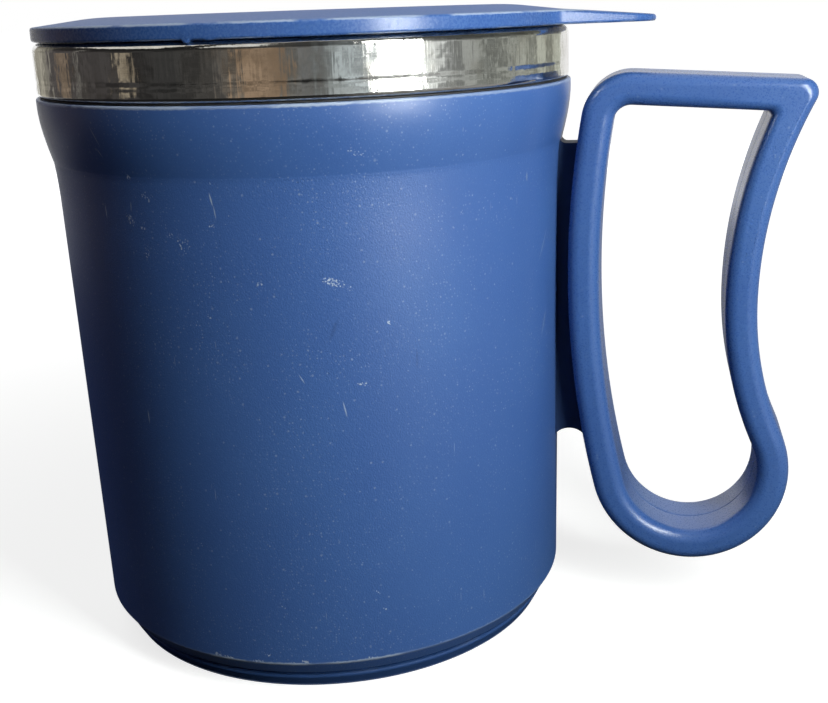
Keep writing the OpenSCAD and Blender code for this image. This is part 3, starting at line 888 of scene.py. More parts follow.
@dataclass
class Shell:
    """Outer shell with its flared lip, the collar inside the steel band and the handle's web."""

    lip_r: float = 43.5
    lip_z: float = 90.1
    lip_band: float = 1.0
    lip_edge: float = 0.3
    crease_r: float = 41.92
    crease_z: float = 80.0
    flare_slope: float = 0.27
    hollow_r: float = 41.5
    hollow_z: float = 72.0
    hollow_slope: float = 0.1
    wall_low_r: float = 40.4
    wall_edge_z: float = 5.7
    edge_round: float = 0.5
    foot_round: float = 0.25
    ledge_round: float = 0.1
    collar_round: float = 0.3
    foot_r: float = 38.95
    foot_z: float = 3.4
    inside_foot_r: float = 37.3
    ring_z: float = 8.4
    wall: float = 2.0
    collar_r: float = 41.6
    collar_in_r: float = 39.8
    collar_z: float = 96.1
    web_t: float = 4.4
    web_top_z: float = 79.9
    web_arch_z: float = 31.0
    web_bite: float = 0.8
    web_lap: float = 0.1
    web_bevel: float = 0.4
    web_fillet: float = 1.0
    sink: float = 0.8

    def wall_r(self, z: float) -> float:
        """Radius of the straight wall at a height."""
        run, rise = self.hollow_r - self.wall_low_r, self.hollow_z - self.wall_edge_z
        return self.wall_low_r + run * (z - self.wall_edge_z) / rise

    def side(self) -> list[Point]:
        """Outer side of the wall from the start of the hollow up to the lip.

        Returns:
            Its points, as radius and height.
        """
        lean = (self.hollow_r - self.wall_low_r) / (self.hollow_z - self.wall_edge_z)
        low = (self.crease_z - self.hollow_z) / 3
        high = (self.lip_z - self.lip_band - self.crease_z) / 3
        start, crease = (self.hollow_r, self.hollow_z), (self.crease_r, self.crease_z)
        lip = (self.lip_r, self.lip_z - self.lip_band)
        hollow = curve(
            start, (start[0] + lean * low, start[1] + low),
            (crease[0] - self.hollow_slope * low, crease[1] - low), crease, 12,
        )
        flare = curve(
            crease, (crease[0] + self.flare_slope * high, crease[1] + high),
            (lip[0], lip[1] - high), lip, 14,
        )
        return hollow + flare[1:]

    def build_wall(self) -> Piece:
        """Model the wall with its lip and collar.

        Returns:
            The finished piece.
        """
        outline = rounded([
            (self.inside_foot_r, self.foot_z, 0), (self.foot_r, self.foot_z, self.foot_round),
            (self.wall_low_r, self.wall_edge_z, self.edge_round),
            *((r, z, 0) for r, z in self.side()),
            (self.lip_r, self.lip_z, self.lip_edge), (self.collar_r, self.lip_z, self.ledge_round),
            (self.collar_r, self.collar_z, self.collar_round),
            (self.collar_in_r, self.collar_z, self.collar_round),
            (self.collar_in_r, self.lip_z, 0), (self.crease_r - self.wall, self.crease_z, 0),
            (self.hollow_r - self.wall, self.hollow_z, 0),
            (self.wall_r(self.ring_z) - self.wall, self.ring_z, 0),
            (self.inside_foot_r, self.ring_z, 0),
        ])
        return Bench.turn("shell_wall", outline, FINE_STEPS)

    def build_web(self, handle: "Handle") -> Piece:
        """Model the web between the wall and the handle.

        Args:
            handle: The handle that it reaches into.

        Returns:
            The finished piece.
        """
        leg_out = handle.leg_side(self.web_arch_z, handle.strip_t)
        middle = (leg_out + self.wall_r(self.web_arch_z)) / 2
        arch_r = (leg_out - self.wall_r(self.web_arch_z)) / 2 + self.web_bite
        low_z = self.web_arch_z - arch_r
        heights = [low_z + (self.web_top_z - low_z) * i / 24 for i in range(25)]
        outline = [(handle.leg_side(z, handle.strip_wall + self.web_lap), z) for z in heights]
        bend = self.web_fillet
        outline += arc((self.crease_r + bend, self.web_top_z + bend), bend, 270, 180, 8)
        outline += [(self.crease_r - self.sink, self.web_top_z + bend)]
        outline += [(self.wall_r(z) - self.sink, z) for z in reversed(heights)]
        outline += arc((middle, low_z), arch_r, 180, 0, 24)
        Bench.clear()
        bpy.ops.mesh.primitive_circle_add(vertices=len(outline), radius=mm(10), fill_type="NGON")
        piece = Bench.begin("handle_web")
        front = [Vector((x, -self.web_t / 2, z)) for x, z in outline]
        Bench.place(piece, range(len(outline)), front)
        bpy.ops.mesh.extrude_region_move(TRANSFORM_OT_translate={"value": (0, mm(self.web_t), 0)})
        bpy.ops.mesh.select_all(action="SELECT")
        bpy.ops.mesh.normals_make_consistent(inside=False)
        self.select_rims(piece)
        bpy.ops.mesh.bevel(
            offset=mm(self.web_bevel), segments=3, affect="EDGES", clamp_overlap=False
        )
        return Bench.close(piece)

    def select_rims(self, piece: Piece) -> None:
        """Select the edges round the web's two faces.

        Args:
            piece: The web, open in edit mode.
        """
        bpy.ops.mesh.select_all(action="DESELECT")
        mesh = bmesh.from_edit_mesh(piece.data)
        for edge in mesh.edges:
            a, b = (v.co.y for v in edge.verts)
            edge.select_set(abs(a - b) < mm(0.01))
        bmesh.update_edit_mesh(piece.data)

    def dress(self, finishes: Finishes, handle: "Handle") -> None:
        """Build the shell's pieces and set them on the frame."""
        Bench.hand_over(self.build_wall(), Body.MUG, Slot.SHELL, finishes.shell, "outer_shell")
        Bench.hand_over(self.build_web(handle), Body.MUG, Slot.SHELL, finishes.web, "outer_shell")


@dataclass
class Base:
    """Cover under the shell, with the ring that the mug stands on."""

    foot_r: float = 37.2
    foot_w: float = 4.5
    recess: float = 0.8
    edge_r: float = 38.55
    edge_z: float = 2.5
    ledge_r: float = 37.75
    ledge_z: float = 3.4
    ring_r: float = 37.25
    ring_z: float = 8.4
    ring_wall: float = 1.6
    top_z: float = 2.8
    recess_round: float = 0.5
    foot_round: float = 0.4
    edge_round: float = 0.4
    ring_round: float = 0.2

    def build(self) -> Piece:
        """Model the cover.

        Returns:
            The finished piece.
        """
        foot_in, ring_in = self.foot_r - self.foot_w, self.ring_r - self.ring_wall
        outline = rounded([
            (0, self.recess, 0), (foot_in - self.recess, self.recess, self.recess_round),
            (foot_in, 0, self.foot_round), (self.foot_r, 0, self.foot_round),
            (self.edge_r, self.edge_z, self.edge_round),
            (self.ledge_r, self.edge_z, 0), (self.ledge_r, self.ledge_z, 0),
            (self.ring_r, self.ledge_z, 0), (self.ring_r, self.ring_z, self.ring_round),
            (ring_in, self.ring_z, self.ring_round), (ring_in, self.top_z, 0), (0, self.top_z, 0),
        ])
        return Bench.turn("base_cover_visual", outline, BASE_STEPS)

    def dress(self, finishes: Finishes) -> None:
        """Build the cover and set it on the frame."""
        Bench.hand_over(self.build(), Body.MUG, Slot.SHELL, finishes.base, "base_cover")


@dataclass
class SteelCup:
    """Stainless cup whose rim turns down into the polished band, and the gasket under it."""

    sheet: float = 0.6
    band_r: float = 43.25
    band_z: float = 90.35
    rim_z: float = 98.45
    shoulder_r: float = 1.3
    curl_r: float = 0.75
    curl_flat: float = 0.3
    bead_z: float = 92.55
    bead_d: float = 0.04
    bead_w: float = 1.6
    mouth_r: float = 36.65
    mouth_roll: float = 1.6
    cup_r: float = 33.25
    floor_z: float = 9.5
    corner: float = 8.0
    lip_z: float = 90.1
    sleeve_r: float = 42.15
    sleeve_wall: float = 0.5
    sleeve_h: float = 4.0
    gasket_out_r: float = 42.85
    gasket_round: float = 0.1
    sleeve_round: float = 0.15

    def cup_side(self, depth: float) -> list[Point]:
        """Cup's side from the middle of its floor to its rim, at a depth in the sheet.

        Args:
            depth: Depth from the inner face.

        Returns:
            Its points, as radius and height.
        """
        roll_z, corner_z = self.rim_z - self.mouth_roll, self.floor_z + self.corner
        lean = degrees(atan((self.mouth_r - self.cup_r) / (roll_z - corner_z)))
        low = arc((self.cup_r - self.corner, corner_z), self.corner + depth, -90, -lean, 14)
        roll_c = (self.mouth_r + self.mouth_roll, roll_z)
        high = arc(roll_c, self.mouth_roll - depth, 180 - lean, 90, 10)
        return [(0, self.floor_z - depth), *low, *high]

    def band_side(self, depth: float) -> list[Point]:
        """Band's side from the rim down to its turned-in edge, at a depth in the sheet.

        Args:
            depth: Depth from the outer face.

        Returns:
            Its points, as radius and height.
        """
        centre = (self.band_r - self.shoulder_r, self.rim_z - self.shoulder_r)
        side = arc(centre, self.shoulder_r - depth, 90, 0, 14)
        if depth == 0:
            for k in range(-8, 9):
                dip = self.bead_d * (1 + cos(pi * k / 8)) / 2
                side.append((self.band_r - dip, self.bead_z - self.bead_w * k / 16))
        curl_x = self.band_r - self.curl_r
        side += arc((curl_x, self.band_z + self.curl_r), self.curl_r - depth, 0, -90, 8)
        return [*side, (curl_x - self.curl_flat, self.band_z + depth)]

    def build_cup(self) -> Piece:
        """Model the cup and its band from one sheet.

        Returns:
            The finished piece.
        """
        outer = [*self.cup_side(0), *self.band_side(0)]
        inner = [*self.cup_side(self.sheet), *self.band_side(self.sheet)]
        return Bench.turn("steel_cup", [*outer, *reversed(inner)], FINE_STEPS)

    def build_gasket(self) -> Piece:
        """Model the gasket between the band and the lip.

        Returns:
            The finished piece.
        """
        inner_r, top_z = self.sleeve_r - self.sleeve_wall, self.lip_z + self.sleeve_h
        outline = rounded([
            (inner_r, self.lip_z, 0), (self.gasket_out_r, self.lip_z, self.gasket_round),
            (self.gasket_out_r, self.band_z, self.gasket_round), (self.sleeve_r, self.band_z, 0),
            (self.sleeve_r, top_z, self.sleeve_round), (inner_r, top_z, self.sleeve_round),
        ])
        return Bench.turn("band_gasket", outline, RING_STEPS)

    def dress(self, finishes: Finishes) -> None:
        """Build the cup and the gasket and set them on the frame."""
        Bench.hand_over(self.build_cup(), Body.MUG, Slot.STEEL, finishes.steel, "steel_liner")
        Bench.hand_over(self.build_gasket(), Body.MUG, Slot.RUBBER, finishes.rubber, "rim_gasket")


@dataclass
class Handle:
    """Strip handle of two hollow halves that meet in the plane y = 0."""

    leg_x: float = 48.37
    leg_z: float = 58.0
    leg_bow: float = 150.0
    loop_r: float = 11.1
    loop_z: float = 25.6
    waist_w: float = 20.1
    waist_z: float = 54.0
    waist_bow: float = 78.0
    corner_out: float = 6.3
    bar_slope: float = 3.5
    bar_round: float = 2.7
    tip_round: float = 2.2
    nook_round: float = 0.7
    strip_t: float = 5.1
    strip_w: float = 14.4
    strip_round: float = 2.0
    strip_wall: float = 1.5
    face_wall: float = 1.8
    seam_bevel: float = 0.25
    leg_c: Point = field(init=False)
    loop_c: Point = field(init=False)
    low_c: Point = field(init=False)
    low_bow: float = field(init=False)
    waist_c: Point = field(init=False)
    corner: Vector = field(init=False)

    def __post_init__(self) -> None:
        """Work out the centres of the arcs that the strip follows."""
        self.leg_c = (self.leg_x + self.leg_bow, self.leg_z)
        loop_off = sqrt((self.leg_bow - self.loop_r) ** 2 - (self.loop_z - self.leg_z) ** 2)
        self.loop_c = (self.leg_c[0] - loop_off, self.loop_z)
        waist_x = self.leg_x + self.waist_w
        self.waist_c = (waist_x + self.waist_bow, self.waist_z)
        pinch_x, pinch_z = waist_x - self.loop_c[0], self.waist_z - self.loop_z
        self.low_bow = (pinch_x**2 + pinch_z**2 - self.loop_r**2) / (2 * (self.loop_r - pinch_x))
        self.low_c = (waist_x + self.low_bow, self.waist_z)
        rise = sqrt(self.waist_bow**2 - (self.waist_bow - self.corner_out) ** 2)
        self.corner = Vector((waist_x + self.corner_out, self.waist_z + rise))

    def leg_side(self, z: float, depth: float) -> float:
        """Place of the inner leg's side at a height, at a depth from the loop's inside."""
        return self.leg_c[0] - sqrt((self.leg_bow + depth) ** 2 - (z - self.leg_z) ** 2)

    def under_bar(self, centre: Point, distance: float, depth: float) -> Point:
        """Point at a depth below the top bar's inner side and at a distance from a centre.

        Args:
            centre: Centre of an arc.
            distance: Distance from that centre.
            depth: Depth below the bar.

        Returns:
            The point.
        """
        slope = radians(self.bar_slope)
        along = Vector((-cos(slope), sin(slope)))
        start = self.corner + Vector((-sin(slope), -cos(slope))) * depth
        off = start - Vector(centre)
        b = along.dot(off)
        return tuple(start + along * (sqrt(b * b - off.dot(off) + distance**2) - b))

    def track(self, depth: float, corner_r: float) -> list[Point]:
        """Points round the strip.

        Args:
            depth: Depth in the strip, from the loop's inner side outwards.
            corner_r: Radius of the corner between the outer leg and the bar.

        Returns:
            The points, from the top of the inner leg round to the end of the bar.
        """
        up, bend, inset = 90 - self.bar_slope, self.bar_round + depth, corner_r - depth
        turn_c = self.under_bar(self.leg_c, self.leg_bow - self.bar_round, self.bar_round)
        corner_c = self.under_bar(self.waist_c, self.waist_bow + inset, inset)
        leg_top, leg_low = heading(self.leg_c, turn_c), heading(self.leg_c, self.loop_c)
        loop_end = heading(self.loop_c, self.low_c) + 360
        low_start = heading(self.low_c, self.loop_c)
        waist_end = heading(self.waist_c, corner_c)
        stretches = (
            (self.leg_c, self.leg_bow + depth, leg_top, leg_low, 48),
            (self.loop_c, self.loop_r + depth, leg_low, loop_end, 66),
            (self.low_c, self.low_bow - depth, low_start, 180, 24),
            (self.waist_c, self.waist_bow - depth, 180, waist_end, 40),
            (corner_c, corner_r, heading(corner_c, self.waist_c) - 360, up, 16),
        )
        points = [point for stretch in stretches for point in arc(*stretch)[:-1]]
        start, end = Vector(polar(corner_c, corner_r, up)), Vector(polar(turn_c, bend, up))
        points += [tuple(start.lerp(end, i / 16)) for i in range(16)]
        return points + arc(turn_c, bend, up, leg_top, 18)[:-1]

    def pairs(self) -> list[tuple[Vector, Vector]]:
        """Pairs of a point on the loop's inner side and one on its outer side, round the strip."""
        inner, outer = self.track(0.0, self.nook_round), self.track(self.strip_t, self.tip_round)
        return [(Vector(a), Vector(b)) for a, b in zip(inner, outer)]

    def section(self) -> list[tuple[bool, float, float]]:
        """Section of one half.

        Returns:
            Rows of whether the outer side counts, the depth from it and the way from the seam.
        """
        half, seam = self.strip_w / 2, self.seam_bevel
        bend = arc((self.strip_round, half - self.strip_round), self.strip_round, 180, 90, 9)
        channel = half - self.face_wall
        return [
            (False, seam, 0), (False, seam * 0.3, seam * 0.3), (False, 0, seam),
            *((False, a, s) for a, s in bend),
            *((True, a, s) for a, s in reversed(bend)),
            (True, 0, seam), (True, seam * 0.3, seam * 0.3), (True, seam, 0),
            (True, self.strip_wall, 0), (True, self.strip_wall, channel),
            (False, self.strip_wall, channel), (False, self.strip_wall, 0), (False, seam, 0),
        ]

    def build_half(self, name: str, side: int) -> Piece:
        """Model one half.

        Args:
            name: Name of the piece.
            side: -1 for the front half and 1 for the rear half.

        Returns:
            The finished piece.
        """
        pairs = self.pairs()
        rings = []
        for outside, depth, off in self.section():
            ring = []
            for inner, outer in pairs:
                across = (outer - inner).normalized()
                p = outer - across * depth if outside else inner + across * depth
                ring.append(Vector((p.x, side * off, p.y)))
            rings.append(ring)
        return Bench.loft(name, rings)

    def dress(self, finishes: Finishes) -> None:
        """Build both halves and set them on the frame.

        Args:
            finishes: The mug's finishes.
        """
        halves = (("grip_front", -1, "handle_front"), ("grip_rear", 1, "handle_rear"))
        for name, side, node in halves:
            half = self.build_half(name, side)
            Bench.hand_over(half, Body.MUG, Slot.HANDLE, finishes.handle, node)


@dataclass
class Lid:
    """Lid with its thumb tab, the plug under it and the seal round the plug."""

    lid_r: float = 43.2
    lid_z: float = 98.6
    rim_z: float = 100.75
    top_z: float = 101.95
    flat_r: float = 33.6
    brow: float = 2.4
    edge: float = 0.4
    tab_r: float = 57.0
    tab_tip: float = 1.0
    tab_taper: float = 27.0
    tab_end_r: float = 6.0
    tab_root: float = 4.0
    plug_r: float = 35.05
    plug_top_z: float = 100.25
    plug_z: float = 88.2
    plug_wall: float = 1.6
    groove_r: float = 34.05
    groove_z: Point = (91.4, 94.4)
    seal_gap: float = 0.12
    seal_reach: float = 36.33
    seal_lip: float = 0.8
    seal_round: float = 0.15
    seal_neck: float = 0.2
    plug_play: float = 0.05
    plug_round: float = 0.8
    groove_round: float = 0.15
    hollow_round: float = 0.5
    flank_rings: Point = (41.9, 39.0)
    middle_ring: float = 20.0
    gate_marks: tuple[Corner, ...] = ((-95.0, 0.65, 0.42), (-90.6, 0.9, 0.12))

    def outline(self) -> list[tuple[Vector, Vector]]:
        """Outline of the lid seen from above.

        Returns:
            Pairs of a point and the outward direction there.
        """
        side, end_x = 90 - self.tab_taper, self.tab_r - self.tab_end_r
        off = end_x * cos(radians(side)) + self.tab_end_r + self.tab_root
        along = sqrt((self.lid_r + self.tab_root) ** 2 - off**2)
        root = polar(polar((0, 0), off, side), along, side - 90)
        start = heading((0, 0), root)
        angles = {start + (360 - 2 * start) * i / 240 for i in range(241)}
        for at, width, _ in self.gate_marks:
            reach = degrees(width / self.lid_r)
            angles |= {at % 360 + reach * k / 6 for k in range(-6, 7)}
        rim = [(polar((0, 0), self.lid_r, a), a) for a in sorted(angles)]
        fan = [side * i / 16 for i in range(17)]
        end = [(polar((end_x, 0), self.tab_end_r, a), a) for a in fan]
        first, last = Vector(end[-1][0]), Vector(polar(root, self.tab_root, side + 180))
        edge = [(tuple(first.lerp(last, i / 6)), side) for i in range(1, 6)]
        turn = start - side
        bends = [side + turn * i / 10 for i in range(10)]
        hollow = [(polar(root, self.tab_root, a + 180), a) for a in bends]
        upper = end + edge + hollow
        lower = [((x, -y), -a) for (x, y), a in reversed(upper)]
        rows = rim[1:-1] + lower + upper[1:]
        return [(Vector(p), Vector(polar((0, 0), 1, a))) for p, a in rows]

    def top(self, place: Vector) -> float:
        """Height of the lid's upper side at a place.

        Args:
            place: Place seen from above.

        Returns:
            The height.
        """
        radius, slope = place.length, (self.top_z - self.rim_z) / (self.lid_r - self.flat_r)
        over = radius - self.flat_r
        if over <= -self.brow:
            return self.top_z
        if over <= self.brow:
            return self.top_z - slope * (over + self.brow) ** 2 / (4 * self.brow)
        if radius <= self.lid_r:
            return self.top_z - slope * over
        fall = (self.rim_z - self.lid_z - self.tab_tip) / (self.tab_r - self.lid_r)
        return self.rim_z - fall * max(0.0, min(place.x, self.tab_r) - self.lid_r)

    def gate(self, place: Vector) -> float:
        """Drop of the lid's lower edge at a place, where the mould left a small nub.

        Args:
            place: Place seen from above.

        Returns:
            The drop, 0 away from the nubs.
        """
        angle, drop = heading((0, 0), tuple(place)), 0.0
        for at, width, depth in self.gate_marks:
            off = abs(angle - at % 360) * radians(1) * self.lid_r / width
            drop = max(drop, depth * cos(pi / 2 * min(1.0, off)))
        return drop

    def build_cover(self) -> Piece:
        """Model the lid with its tab.

        Returns:
            The finished piece.
        """
        outline = self.outline()
        inner_r, plug_top = self.plug_r + self.plug_play, self.plug_top_z

        def disc(radius: float, z: float | None) -> list[Vector]:
            """Ring of a radius, at a height or on the upper side."""
            places = (p.normalized() * radius for p, _ in outline)
            return [Vector((*p, self.top(p) if z is None else z)) for p in places]

        def rim(inset: float, level: float, upper: bool) -> list[Vector]:
            """Outline drawn in by an inset, at a level off one side.

            Args:
                inset: How far it is drawn in.
                level: Distance from that side.
                upper: Whether it is the upper side.

            Returns:
                The ring.
            """
            ring = []
            for p, out in outline:
                q = p - out * inset
                z = self.top(q) - level if upper else self.lid_z + level - self.gate(p)
                ring.append(Vector((*q, z)))
            return ring

        bend = arc((self.edge, self.edge), self.edge, 270, 180, 4)
        brow = [self.flat_r + self.brow * (1 - k / 4) for k in range(9)]
        rings = [disc(0, plug_top), disc(inner_r, plug_top), disc(inner_r, self.lid_z)]
        rings += [rim(a, s, False) for a, s in bend]
        rings += [rim(a, s, True) for a, s in reversed(bend)]
        rings += [disc(r, None) for r in (*self.flank_rings, *brow, self.middle_ring, 0)]
        return Bench.loft("lid_cover_visual", rings)

    def build_plug(self) -> Piece:
        """Model the hollow plug with its groove.

        Returns:
            The finished piece.
        """
        low_z, high_z = self.groove_z
        wall_in, shelf_z = self.plug_r - self.plug_wall, self.groove_z[1] + self.plug_wall
        step, floor_z = self.plug_r - self.groove_r, self.plug_z + self.plug_wall
        outline = rounded([
            (0, self.plug_z, 0), (self.plug_r, self.plug_z, self.plug_round),
            (self.plug_r, low_z, self.groove_round), (self.groove_r, low_z, 0),
            (self.groove_r, high_z, 0), (self.plug_r, high_z, self.groove_round),
            (self.plug_r, self.plug_top_z, 0), (wall_in, self.plug_top_z, 0), (wall_in, shelf_z, 0),
            (wall_in - step, shelf_z, 0), (wall_in - step, floor_z, self.hollow_round),
            (0, floor_z, 0),
        ])
        return Bench.turn("lid_plug_visual", outline, RING_STEPS)

    def build_seal(self) -> Piece:
        """Model the seal with its two lips.

        Returns:
            The finished piece.
        """
        inner_r, root_r = self.groove_r + self.seal_gap, self.plug_r + self.seal_gap
        low_z, high_z = self.groove_z[0] + self.seal_gap, self.groove_z[1] - self.seal_gap
        reach, lip, bend, neck = self.seal_reach, self.seal_lip, self.seal_round, self.seal_neck
        outline = rounded([
            (inner_r, low_z, 0), (reach, low_z, bend), (reach, low_z + lip / 2, bend),
            (root_r, low_z + lip, neck), (root_r, high_z - lip, neck),
            (reach, high_z - lip / 2, bend), (reach, high_z, bend), (inner_r, high_z, 0),
        ])
        return Bench.turn("plug_seal", outline, RING_STEPS)

    def dress(self, finishes: Finishes) -> None:
        """Build the lid's pieces and set them on the frame.

        Args:
            finishes: The mug's finishes.
        """
        Bench.hand_over(self.build_cover(), Body.LID, Slot.LID, finishes.lid, "lid_cover")
        Bench.hand_over(self.build_plug(), Body.LID, Slot.LID, finishes.lid, "lid_plug")
        Bench.hand_over(self.build_seal(), Body.SEAL, Slot.RUBBER, finishes.rubber, "lid_seal")


@dataclass(frozen=True)
class Panel:
    """One sheet of the room: its angles from the camera's side, its heights and its light."""

    name: str
    first: float
    last: float
    low: float
    high: float
    light: Colour = (1.0, 1.0, 1.0)


@dataclass(frozen=True)
class Lamp:
    """One soft lamp that faces the axis: size, power, place, aim, tint and if gloss shows it."""

    name: str
    size: Point
    power: float
    away: float
    angle: float
    low: float
    aim: float
    tint: Colour = (0.97, 1.0, 0.98)
    mirrored: bool = True


@dataclass
class Studio:
    """Pale floor, an unseen card and room that light and mirror, soft lamps and the camera."""

    view_at: Corner = (55.87, -188.61, 101.29)
    view_turn: Corner = (10.25, 75.09, -1.98)
    lens: float = 49.8
    shift: Point = (-0.038, -0.0439)
    facing: float = -73.5
    sensor: float = 36.0
    clip: Point = (0.01, 20.0)
    sky: float = 0.06
    sky_tint: Colour = (0.93, 0.96, 1.0)
    floor_size: float = 30.0
    floor_cuts: int = 7
    floor_tone: float = 0.5
    # Painted glow of the floor near the mug, and the distances over which it rises to full white.
    floor_lift: float = 0.78
    floor_fade: Point = (0.05, 0.3)
    card_r: Point = (0.0355, 0.52)
    card_z: float = 0.0005
    card_steps: int = 96
    card_tone: float = 0.04
    card_pale: float = 0.36
    card_pale_at: float = 132.5
    card_pale_half: Point = (127.0, 95.0)
    card_pale_r: Point = (0.06, 0.26)
    card_fade: float = 0.14
    card_late_at: float = -140.0
    card_late_half: Point = (60.0, 35.0)
    room: Panel = Panel("room_wall", -150.0, 135.0, 0.0, 1.5)
    room_r: float = 0.5
    room_tone: float = 0.02
    room_fall: Point = (0.11, 0.3)
    room_dim: float = 0.25
    room_patch: float = 50.0
    room_uneven: Point = (0.55, 1.45)
    room_share: float = 0.15
    room_tones: tuple[tuple[float, Colour], ...] = (
        (-150, (0.44, 0.42, 0.35)), (-132, (0.34, 0.32, 0.27)), (-125, (0.11, 0.1, 0.1)),
        (-90, (0.06, 0.055, 0.055)), (-54, (0.04, 0.04, 0.04)), (-34, (0.1, 0.095, 0.09)),
        (-28, (0.2, 0.17, 0.14)), (-8, (0.24, 0.24, 0.23)), (1, (0.16, 0.165, 0.17)),
        (12, (0.5, 0.57, 0.6)), (20, (0.62, 0.7, 0.74)), (27, (0.95, 1.0, 1.0)),
        (47, (0.95, 1.0, 1.0)), (54, (0.55, 0.58, 0.58)), (63, (0.38, 0.4, 0.39)),
        (76, (0.33, 0.35, 0.33)), (88, (0.38, 0.4, 0.37)), (110, (0.46, 0.48, 0.42)),
        (135, (0.5, 0.52, 0.45)),
    )
    panel_gap: float = 0.01
    panel_patch: float = 40.0
    panel_uneven: Point = (0.7, 1.3)
    sheet_low: float = 0.001
    sheet_step: float = 3.0
    panels: tuple[Panel, ...] = (
        Panel("cupboard", -116.5, -109.5, 0.0, 0.11, (0.26, 0.2, 0.15)),
        Panel("door_edge", -103.5, -101.5, 0.0, 0.3, (0.3, 0.29, 0.27)),
        Panel("shelf_light", -78.0, -71.5, 0.06, 0.11, (0.34, 0.29, 0.22)),
        Panel("curtain", -27.0, -9.0, 0.0, 0.2, (0.36, 0.26, 0.18)),
        Panel("high_light", -126.0, -66.0, 0.4, 1.0, (0.9, 0.88, 0.82)),
        Panel("next_light", -46.0, -20.0, 0.4, 1.0, (0.9, 0.9, 0.88)),
    )
    lamps: tuple[Lamp, ...] = (
        Lamp("window", (0.06, 0.2), 0.75, 0.22, 33.0, 0.07, 0.15),
        Lamp("back_window", (0.6, 0.4), 1.7, 0.6, -140.0, 0.55, 0.05),
        Lamp("side_light", (0.3, 0.3), 0.25, 0.45, -112.0, 0.0, 0.1, (0.66, 0.57, 1.0), False),
        Lamp("rear_light", (0.6, 0.4), 0.9, 0.6, 180.0, 0.0, 0.05, mirrored=False),
    )

    def build_world(self) -> None:
        """White background for the eye and for gloss, and soft grey light for the rest."""
        world = bpy.data.worlds.new("studio")
        bpy.context.scene.world = world
        board = NodeBoard(world, "Background")
        board.paint("Color", (*self.sky_tint, 1))
        board.paint("Strength", self.sky)
        white = board.add("ShaderNodeBackground", {"Color": (1, 1, 1, 1)})
        both = {0: board.seen(), 1: board.shader.outputs[0], 2: white.outputs[0]}
        mix = board.add("ShaderNodeMixShader", both)
        board.feed(board.tree.nodes["World Output"].inputs["Surface"], mix.outputs[0])

    @staticmethod
    def glow(piece: Piece, tone: float, roughness: float = 0.5) -> NodeBoard:
        """Start the material of a stage piece: no gloss, and white light still without a strength.

        Args:
            piece: The piece, whose name the material takes.
            tone: Its grey in the light of the lamps.
            roughness: Its roughness.

        Returns:
            The material's nodes.
        """
        material = bpy.data.materials.new(piece.name)
        piece.data.materials.append(material)
        board = NodeBoard(material)
        board.paint("Base Color", (tone, tone, tone, 1))
        board.paint("Roughness", roughness)
        board.paint("Specular IOR Level", 0.0)
        board.paint("Emission Color", (1, 1, 1, 1))
        return board

    def build_floor(self) -> None:
        """Pale floor that keeps the shadow, with a painted glow that is weaker near the mug."""
        Bench.clear()
        bpy.ops.mesh.primitive_plane_add(size=self.floor_size)
        floor = Bench.begin("floor")
        bpy.ops.mesh.subdivide(number_cuts=self.floor_cuts)
        Bench.close(floor)
        board = self.glow(floor, self.floor_tone, roughness=0.9)
        # Painted glow seen by the camera and in gloss: weaker near the mug and full white farther
        # off, so the floor is painted a little darker round the mug.
        painted_glow = board.fade(board.length(), *self.floor_fade, self.floor_lift, 1.0)
        board.paint("Emission Strength", board.times(board.seen(), painted_glow))

    def build_card(self) -> None:
        """Unseen card that keeps the floor's light off the mug; in gloss, some sides are pale."""
        card = Bench.sweep("dark_card", [(r, 0, self.card_z) for r in self.card_r], self.card_steps)
        card.visible_camera = card.visible_shadow = False
        board = self.glow(card, self.card_tone, roughness=0.95)
        off = board.math("ABSOLUTE", self.angle_from(board, self.card_pale_at))
        side = board.fade(off, *map(radians, self.card_pale_half), 0.0, self.card_pale)
        behind = board.math("ABSOLUTE", self.angle_from(board, self.card_late_at))
        start = board.fade(behind, *map(radians, self.card_late_half), *self.card_pale_r)
        outside = board.fade(board.minus(board.length(), start), 0.0, self.card_fade)
        board.paint("Emission Strength", board.times(side, outside, board.seen()))

    def angle_from(self, board: NodeBoard, rest: float) -> Socket:
        """Angle round the axis in radians, zero at some degrees from the camera's side."""
        return board.angle(board.stretch(Vector((0, 0, -self.facing - rest)), Vector((1, 1, 1))))

    def build_sheet(self, plan: Panel, radius: float) -> Piece:
        """Model an upright sheet bent round the axis, unseen by the camera and without a shadow.

        Args:
            plan: Where the sheet is.
            radius: Its distance from the axis, in metres.

        Returns:
            The sheet.
        """
        width = plan.last - plan.first
        x, y = polar((0, 0), radius, self.facing + plan.last)
        low = max(self.sheet_low, plan.low)
        path = [(x, y, low), (x, y, low + plan.high - plan.low)]
        sheet = Bench.sweep(plan.name, path, max(2, round(width / self.sheet_step)), width)
        sheet.visible_camera = sheet.visible_shadow = False
        return sheet

    def build_room(self) -> None:
        """Room wall: dark on the left, grey in front and pale on the right."""
        board = self.glow(self.build_sheet(self.room, self.room_r), self.room_tone)
        share = board.plus(board.math("DIVIDE", self.angle_from(board, 0.0), tau), 0.5)
        ramp = board.add("ShaderNodeValToRGB", {0: share})
        cells, stops = ramp.color_ramp.elements, self.room_tones
        cells[0].position, cells[1].position = (stops[i][0] / 360 + 0.5 for i in (0, -1))
        for at, _ in stops[1:-1]:
            cells.new(at / 360 + 0.5)
        for cell, (_, colour) in zip(cells, stops):
            cell.color = (*colour, 1)
        board.paint("Emission Color", ramp.outputs[0])
        level = board.fade(board.height(), *self.room_fall, 1.0, self.room_dim)
        uneven = board.fade(board.noise(self.room_patch, 3.0), 0.35, 0.65, *self.room_uneven)
        mirrored = board.plus(board.times(board.seen(), 1 - self.room_share), self.room_share)
        board.paint("Emission Strength", board.times(level, uneven, mirrored))

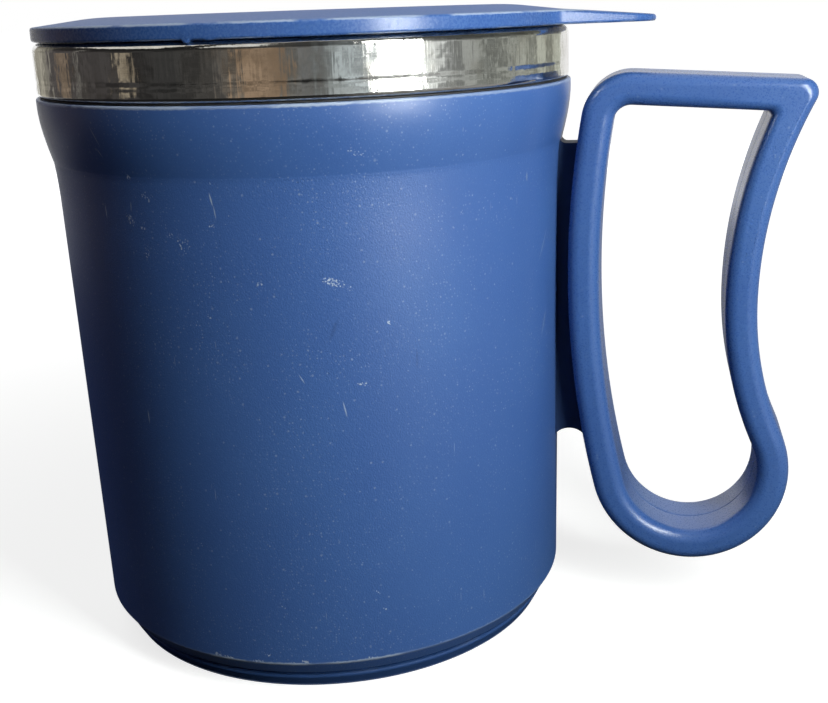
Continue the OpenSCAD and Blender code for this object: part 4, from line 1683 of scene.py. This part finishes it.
    def build_panels(self) -> None:
        """What hangs on the room's wall, each a little uneven."""
        for panel in self.panels:
            sheet = self.build_sheet(panel, self.room_r - self.panel_gap)
            sheet.visible_diffuse = False
            board, peak = self.glow(sheet, self.room_tone), max(panel.light)
            board.paint("Emission Color", (*(c / peak for c in panel.light), 1))
            ends = (share * peak for share in self.panel_uneven)
            uneven = board.fade(board.noise(self.panel_patch, 3.0), 0.35, 0.65, *ends)
            board.paint("Emission Strength", uneven)

    def build_lamp(self, plan: Lamp) -> None:
        """Add one lamp, out of the camera's sight.

        Args:
            plan: What the lamp is like and where it stands.
        """
        light = bpy.data.lights.new(plan.name, "AREA")
        light.shape = "RECTANGLE"
        light.size, light.size_y = plan.size
        light.energy, light.color = plan.power, plan.tint
        lamp = bpy.data.objects.new(plan.name, light)
        bpy.context.scene.collection.objects.link(lamp)
        x, y = polar((0, 0), plan.away, self.facing + plan.angle)
        lamp.location = (x, y, plan.low + plan.size[1] / 2)
        aim = Vector((0, 0, plan.aim)) - lamp.location
        lamp.rotation_euler = aim.to_track_quat("-Z", "Y").to_euler()
        lamp.visible_camera, lamp.visible_glossy = False, plan.mirrored

    def build_camera(self) -> None:
        """Camera at the photograph's place, with its tilt, lens and framing."""
        data = bpy.data.cameras.new("camera")
        data.sensor_width, data.sensor_fit = self.sensor, "HORIZONTAL"
        data.lens = self.lens
        data.shift_x, data.shift_y = self.shift
        data.clip_start, data.clip_end = self.clip
        camera = bpy.data.objects.new("camera", data)
        bpy.context.scene.collection.objects.link(camera)
        turn, tilt, roll = (radians(a) for a in self.view_turn)
        spin = Matrix.Rotation(turn, 4, "Z") @ Matrix.Rotation(tilt, 4, "X")
        place = Matrix.Translation(Vector(self.view_at) * mm(1))
        camera.matrix_world = place @ spin @ Matrix.Rotation(roll, 4, "Z")
        bpy.context.scene.camera = camera

    def build(self) -> None:
        """Set up the light, the floor and the camera."""
        bpy.context.scene.view_settings.view_transform = "Standard"
        self.build_world()
        self.build_floor()
        self.build_card()
        self.build_room()
        self.build_panels()
        for plan in self.lamps:
            self.build_lamp(plan)
        self.build_camera()
        LOG.info("studio ready")


def dress_foam(finishes: Finishes) -> None:
    """Give the foam, whose solid is shown as it is, its own material.

    Args:
        finishes: The mug's finishes.
    """
    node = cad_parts["foam_insulation"]
    for slot in node.material_slots:
        slot.material = finishes.foam
    LOG.info("foam_insulation: shown as packed")


def main() -> None:
    """Build every piece, the studio and the camera."""
    logging.basicConfig(level=logging.INFO, format="%(name)s: %(message)s")
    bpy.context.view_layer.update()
    finishes = Finishes()
    handle = Handle()
    Shell().dress(finishes, handle)
    Base().dress(finishes)
    SteelCup().dress(finishes)
    handle.dress(finishes)
    Lid().dress(finishes)
    dress_foam(finishes)
    Studio().build()
    bpy.context.view_layer.update()


if __name__ == "__main__":
    main()
